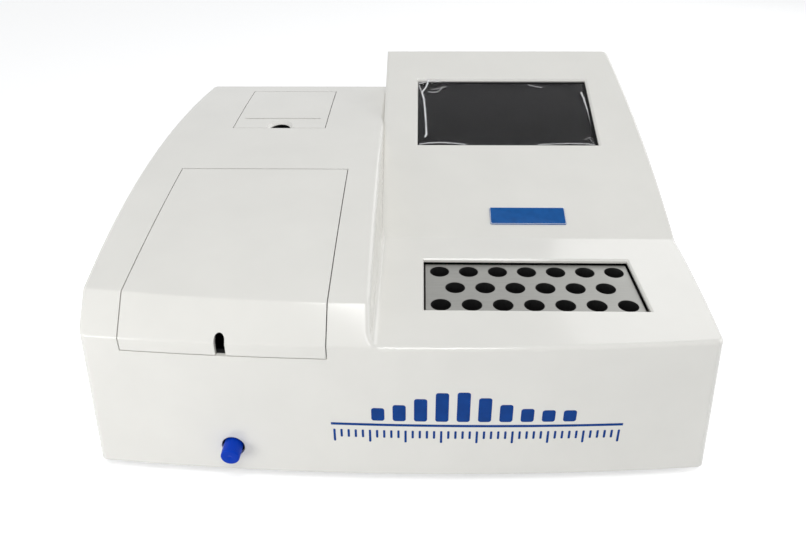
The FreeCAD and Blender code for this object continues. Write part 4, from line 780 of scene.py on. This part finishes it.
class ANALYZER_OT_front_print(bpy.types.Operator):
    """Plain printed marks on the front: a rule, bars of a generic curve above it and a scale below it"""

    bl_idname = "analyzer.front_print"
    bl_label = "Front print"

    def execute(self, context):
        half = context.scene.analyzer_sizes.rule_width / MM / 2
        sunk = -0.01
        section = [(-half, sunk), (-half, INK + sunk), (half, INK + sunk), (half, sunk)]
        steps = [(0.0, sunk), (0.0, INK), (0.3, INK)]
        parts = [carried(section, np.linspace(PRINT_LEFT, PRINT_RIGHT, 60), ruled)]
        parts += [pad(*bar, steps, ruled) for bar in self.bars()]
        parts += [pad(*tick, steps, ruled) for tick in self.ticks()]
        piece = put("front_print", *together(parts))
        dress(enamel("Print blue", context.scene.analyzer_finishes.print_ink, 0.5, 0.12), piece)
        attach(piece, "root")
        return {"FINISHED"}

    def bars(self):
        """Outlines and middles of bars whose heights follow a bell curve, peak at two fifths of the row."""
        first, row, foot, half_wide, corner = -13.2, 122.4, 3.4, 4.2, 1.8
        least, rise, peak, spread = 9.0, 15.0, 0.4, 0.25
        for share in np.linspace(0, 1, 10):
            tall = least + rise * math.exp(-((share - peak) / spread) ** 2)
            yield rounded_rectangle(half_wide, tall / 2, corner), (first + share * row, foot + tall / 2)

    def ticks(self):
        """Outlines and middles of the scale's marks; every fifth is longer."""
        count, inset, top, half_wide, corner = 40, 2.0, -4.4, 0.75, 0.5
        pitch = (PRINT_RIGHT - PRINT_LEFT - 2 * inset) / count
        for index in range(count + 1):
            tall = 6.4 if index % 5 else 10.0
            middle = (PRINT_LEFT + inset + index * pitch, top - tall / 2)
            yield rounded_rectangle(half_wide, tall / 2, corner, 3), middle


def well_places():
    """Centres of the wells about the block's middle, and the height of its face."""
    low, high = in_mm(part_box("incubator_block"))
    middle_x, middle_y = (low[:2] + high[:2]) / 2
    places = []
    for row, count in enumerate(WELL_ROWS):
        y = middle_y + (row - 1) * WELL_PITCH[1]
        places += [(middle_x + (index - (count - 1) / 2) * WELL_PITCH[0], y) for index in range(count)]
    return places, high[2]


class ANALYZER_OT_incubator(bpy.types.Operator):
    """The block's ground face and the dark liner in each well"""

    bl_idname = "analyzer.incubator"
    bl_label = "Incubator"

    def execute(self, context):
        tone = context.scene.analyzer_finishes.block
        dress_nodes(brushed_metal("Ground aluminium", tone, (60.0, 900.0, 900.0), 0.4), "incubator_block")
        wall = context.scene.analyzer_sizes.liner_wall / MM
        inner = LINER_RADIUS - wall
        rim, outer_lip, inner_lip, base, bend = 0.12, 0.35, 0.4, 0.6, 2.4
        floor = base + bend - LINER_DEPTH
        profile = [(0.0, -LINER_DEPTH), (LINER_RADIUS, -LINER_DEPTH), (LINER_RADIUS, -outer_lip),
                   (LINER_RADIUS - wall * 0.3, -rim), (inner + wall * 0.2, -rim), (inner, -inner_lip),
                   (inner, floor)]
        turn = np.linspace(0, math.pi / 2, 7)[1:]
        profile += [(inner - bend + bend * math.cos(a), floor - bend * math.sin(a)) for a in turn]
        profile += [(0.0, base - LINER_DEPTH)]
        places, top = well_places()
        parts = [turned(profile, (x, y, top), (0, 0, 1), sides=40) for x, y in places]
        liners = put("well_liners", *together(parts))
        dress(anodised_black("Well black"), liners)
        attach(liners, "root")
        return {"FINISHED"}


class ANALYZER_OT_button(bpy.types.Operator):
    """The blue push button with its stem and clip, and its spring"""

    bl_idname = "analyzer.button"
    bl_label = "Push button"

    def execute(self, context):
        low, high = in_mm(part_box("aspirate_button"))
        x, _, z = (low + high) / 2
        radius = (high[0] - low[0]) / 2
        length = high[1] - low[1]
        # The cap ends before the guide's middle; behind it are the stem and the clip that holds it in.
        guide_half, clip, clearance, stem_radius, clip_radius = 15.0, 1.2, 0.6, 2.5, 4.0
        cap = length - guide_half - clip - clearance
        rim, taper, straight, chamfer, clip_chamfer = 1.0, 0.1, 3.2, 0.3, 0.2
        flat = radius - rim - taper
        dish = [(0.0, 0.55), (0.7, 0.5), (1.3, 0.18), (1.9, 0.02), (2.3, 0.0)]
        turn = np.linspace(0, math.pi / 2, 7)[1:]
        profile = dish + [(flat, 0.0)]
        profile += [(flat + rim * math.sin(a), rim - rim * math.cos(a)) for a in turn]
        profile += [(radius, straight), (radius, cap - chamfer), (radius - chamfer, cap), (stem_radius, cap),
                    (stem_radius, length - clip), (clip_radius, length - clip),
                    (clip_radius, length - clip_chamfer), (clip_radius - clip_chamfer, length),
                    (0.0, length)]
        button = put("aspirate_button_cap", *turned(profile, (x, low[1], z), (0, 1, 0), sides=56))
        blue = moulded_gloss("Button blue", context.scene.analyzer_finishes.button, 0.3, 0.42, 0.0, 0.1)
        dress(blue, button)
        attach(button, "aspirate_button")
        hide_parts("aspirate_button")
        self.spring()
        return {"FINISHED"}

    def spring(self):
        """The return spring, wound from its front to its fixed rear end."""
        low, high = in_mm(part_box("button_spring"))
        travel, wire, turns = 4.0, 0.5, 4
        front, rear = low[1], high[1]
        centre = ((low[0] + high[0]) / 2, (low[2] + high[2]) / 2)
        radius = (high[2] - low[2]) / 2 - wire
        spring = put("button_spring_coil", *coiled(centre, front + wire, rear - wire, radius, wire, turns))
        dress(brushed_metal("Spring steel", STEEL, (500.0, 500.0, 500.0), 0.32), spring)
        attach(spring, "root")
        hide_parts("button_spring")
        centre[0] * MM
        rear * MM
        centre[1] * MM
        1 - travel / (rear - front)
        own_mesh(spring)


class ANALYZER_OT_inside(bpy.types.Operator):
    """Finishes of the trays, pump, optics, printer, display and electronics"""

    bl_idname = "analyzer.inside"
    bl_label = "Inside"

    def execute(self, context):
        inner = context.scene.analyzer_finishes.inner
        dress_nodes(grained_plastic("Tray black", inner, 0.5), "sample_tray", "printer_bin")
        steel = brushed_metal("Turned steel", STEEL, (500.0, 500.0, 60.0), 0.32)
        dress_nodes(steel, "sample_lid_pins", "printer_lid_pins", "pump_motor", "filter_motor",
                    "temperature_probe", "board_standoffs")
        sheet = brushed_metal("Zinc sheet", (0.60, 0.61, 0.62), (40.0, 260.0, 260.0), 0.4)
        dress_nodes(sheet, "display_bracket", "incubator_cradle", "power_supply", "lcd_panel")
        block = brushed_metal("Milled aluminium", (0.66, 0.66, 0.66), (700.0, 60.0, 700.0), 0.36)
        dress_nodes(block, "optical_base", "lamp_housing")
        dark = grained_plastic("Black plastic", (0.018, 0.018, 0.02), 0.48)
        dress_nodes(dark, "pump_base", "paper_spindle", "thermal_head", "flow_cell_block", "lens_holder",
                    "filter_wheel", "detector_block", "button_guide", "button_switch")
        pale = grained_plastic("Acetal", (0.66, 0.66, 0.63), 0.4)
        dress_nodes(pale, "pump_rotor", "pump_roller_1", "pump_roller_2", "pump_roller_3")
        dress_nodes(rubber("Platen rubber", (0.03, 0.03, 0.032)), "platen_roller")
        low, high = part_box("paper_roll")
        dress_nodes(paper_roll_finish("Thermal paper", tuple((low + high) / 2)), "paper_roll")
        dress_nodes(soft_tube("Silicone"), "pump_tubing")
        dress_nodes(clear_lens("Lens glass"), "condenser_lens", "halogen_lamp")
        dress_nodes(coated_filter("Filter coating"), "interference_filters")
        dress_nodes(heater_mat("Heater film"), "incubator_heater")
        dress_nodes(circuit_board("Circuit board"), "display_board", "main_board")
        return {"FINISHED"}


class ANALYZER_OT_outside(bpy.types.Operator):
    """Finishes of the pan, feet, screws, rear panel and its fittings, with the switch's marks"""

    bl_idname = "analyzer.outside"
    bl_label = "Base and rear"

    def execute(self, context):
        dress_nodes(powder_coat("Powder grey", (0.56, 0.56, 0.54)), "base_pan", "rear_panel")
        dress_nodes(rubber("Foot rubber"), "rubber_feet")
        screws = brushed_metal("Screw steel", (0.40, 0.40, 0.41), (900.0, 900.0, 90.0), 0.34)
        dress_nodes(screws, "housing_screws", "serial_port", "usb_port", "fan_guard")
        dark = grained_plastic("Fitting black", (0.016, 0.016, 0.017), 0.42)
        dress_nodes(dark, "power_inlet", "power_switch_body", "fan_frame", "fan_rotor")
        dress_nodes(enamel("Rocker black", (0.014, 0.014, 0.015), 0.25), "power_rocker")
        dress_nodes(grained_plastic("Nylon", (0.66, 0.65, 0.6), 0.45), "waste_outlet")
        self.switch_marks()
        return {"FINISHED"}

    def switch_marks(self):
        """The bar for on and the ring for off, each on its flat of the rocker; the upper leans out."""
        low, high = in_mm(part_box("power_rocker"))
        middle_x, _, middle_z = (low + high) / 2
        lean = math.radians(12.0)
        face = high[1] - (high[2] - low[2]) / 2 * math.tan(lean)

        def on_upper(x, up, out):
            y = face + up * math.sin(lean) + out * math.cos(lean)
            z = middle_z + up * math.cos(lean) - out * math.sin(lean)
            return np.stack([middle_x - x, y, z], axis=-1)

        def on_lower(x, up, out):
            return np.stack([middle_x - x, face + out, middle_z + up], axis=-1)

        sunk, ease = -0.02, 0.01
        bar_half_x, bar_half_z, bar_corner, bar_place, bar_inset = 0.35, 1.9, 0.2, 5.2, 0.05
        steps = [(0.0, sunk), (0.0, INK - ease), (bar_inset, INK)]
        outline = rounded_rectangle(bar_half_x, bar_half_z, bar_corner, 3)
        bar = pad(outline, (0.0, bar_place), steps, on_upper)
        ring_radius, ring_half, ring_foot, ring_place = 1.8, 0.3, 0.33, -5.0
        turn = np.linspace(0, 2 * math.pi, 32, endpoint=False)
        ring = np.stack([np.cos(turn), np.sin(turn)], axis=-1) * ring_radius
        section = [(ring_foot, sunk), (ring_half, INK), (-ring_half, INK), (-ring_foot, sunk)]
        circle = looped(ring, (0.0, ring_place), section, on_lower)
        marks = put("switch_marks", *together([bar, circle]))
        dress(enamel("Mark white", (0.78, 0.78, 0.76), 0.45, 0.3), marks)
        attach(marks, "power_rocker")


class ANALYZER_OT_stage(bpy.types.Operator):
    """Camera, floor, surrounding light and five soft lamps"""

    bl_idname = "analyzer.stage"
    bl_label = "Stage"

    def execute(self, context):
        scene = context.scene
        stage = scene.analyzer_stage
        self.camera(scene)
        self.floor()
        self.world(scene, stage.world)
        for name, place, target, size in LAMPS:
            self.lamp(scene, name, getattr(stage, name.lower()), place, target, size)
        scene.view_settings.view_transform = "Standard"
        return {"FINISHED"}

    def camera(self, scene):
        """The viewer's place, turned by its pitch, yaw and roll."""
        pitch, yaw, roll = (math.radians(angle) for angle in CAMERA_ANGLES)
        ahead = Vector((-math.sin(yaw) * math.cos(pitch), math.cos(yaw) * math.cos(pitch), -math.sin(pitch)))
        level = Vector((math.cos(yaw), math.sin(yaw), 0.0))
        down = ahead.cross(level)
        right = math.cos(roll) * level + math.sin(roll) * down
        under = -math.sin(roll) * level + math.cos(roll) * down
        data = bpy.data.cameras.new("Camera")
        data.sensor_width = CAMERA_SENSOR
        data.lens = CAMERA_LENS
        data.clip_start = 0.01
        camera = bpy.data.objects.new("Camera", data)
        turn = Matrix((right, -under, -ahead)).transposed()
        camera.matrix_world = Matrix.Translation(CAMERA_PLACE) @ turn.to_4x4()
        scene.collection.objects.link(camera)
        scene.camera = camera

    def floor(self):
        """A wide pale floor; what the camera, gloss and glass see of it is lifted to white, shadows stay."""
        corners = [(-1, -1, 0), (1, -1, 0), (1, 1, 0), (-1, 1, 0)]
        floor = put("floor", np.array(corners) * FLOOR_REACH, [[0, 1, 2, 3]])
        f = Finish("Floor")
        pale = f.surface(Base_Color=(0.80, 0.80, 0.80), Roughness=0.9, Specular_IOR_Level=0.2)
        glow = f.node("Emission", None, {"Color": WHITE, "Strength": f.looked_at() * FLOOR_GLOW})
        dress(f.done(f.node("AddShader", None, {0: pale, 1: glow}, "Shader")), floor)

    def world(self, scene, strength):
        """Even light all round, white where the camera, gloss or glass looks at it."""
        f = Finish(bpy.data.worlds.new("Studio"))
        lit = f.node("Background", None, {"Color": (0.96, 0.98, 1.0, 1.0), "Strength": strength})
        white = f.node("Background", None, {"Color": WHITE, "Strength": 1.0})
        mixed = f.node("MixShader", None, {0: f.looked_at(), 1: lit, 2: white})
        scene.world = f.done(mixed, "OutputWorld")

    def lamp(self, scene, name, power, place, target, size):
        """A soft round lamp that faces its target."""
        data = bpy.data.lights.new(name, "AREA")
        data.shape = "DISK"
        data.size = size
        data.energy = power
        lamp = bpy.data.objects.new(name, data)
        lamp.location = place
        lamp.rotation_euler = (Vector(target) - Vector(place)).to_track_quat("-Z", "Y").to_euler()
        scene.collection.objects.link(lamp)


class ANALYZER_PT_panel(bpy.types.Panel):
    """Lists the analyzer's settings and pieces in the sidebar"""

    bl_idname = "ANALYZER_PT_panel"
    bl_label = "Chemistry Analyzer"
    bl_space_type = "VIEW_3D"
    bl_region_type = "UI"
    bl_category = "Analyzer"

    def draw(self, context):
        layout = self.layout
        for group in SETTINGS:
            settings = getattr(context.scene, group)
            box = layout.box()
            for name in settings.bl_rna.properties.keys():
                if name not in ("rna_type", "name"):
                    box.prop(settings, name)
        for operator in OPERATORS:
            layout.operator(operator.bl_idname)


OPERATORS = (
    ANALYZER_OT_mouldings,
    ANALYZER_OT_screen,
    ANALYZER_OT_plate,
    ANALYZER_OT_front_print,
    ANALYZER_OT_incubator,
    ANALYZER_OT_button,
    ANALYZER_OT_inside,
    ANALYZER_OT_outside,
    ANALYZER_OT_stage,
)
SETTINGS = {
    "analyzer_finishes": AnalyzerFinishes,
    "analyzer_sizes": AnalyzerSizes,
    "analyzer_stage": AnalyzerStage,
}


def register():
    for group in SETTINGS.values():
        bpy.utils.register_class(group)
    for name, group in SETTINGS.items():
        setattr(bpy.types.Scene, name, bpy.props.PointerProperty(type=group))
    for operator in OPERATORS:
        bpy.utils.register_class(operator)
    bpy.utils.register_class(ANALYZER_PT_panel)


def unregister():
    bpy.utils.unregister_class(ANALYZER_PT_panel)
    for operator in reversed(OPERATORS):
        bpy.utils.unregister_class(operator)
    for name in SETTINGS:
        delattr(bpy.types.Scene, name)
    for group in reversed(list(SETTINGS.values())):
        bpy.utils.unregister_class(group)


def main():
    register()
    for operator in OPERATORS:
        group, name = operator.bl_idname.split(".")
        getattr(getattr(bpy.ops, group), name)()


if __name__ == "__main__":
    main()
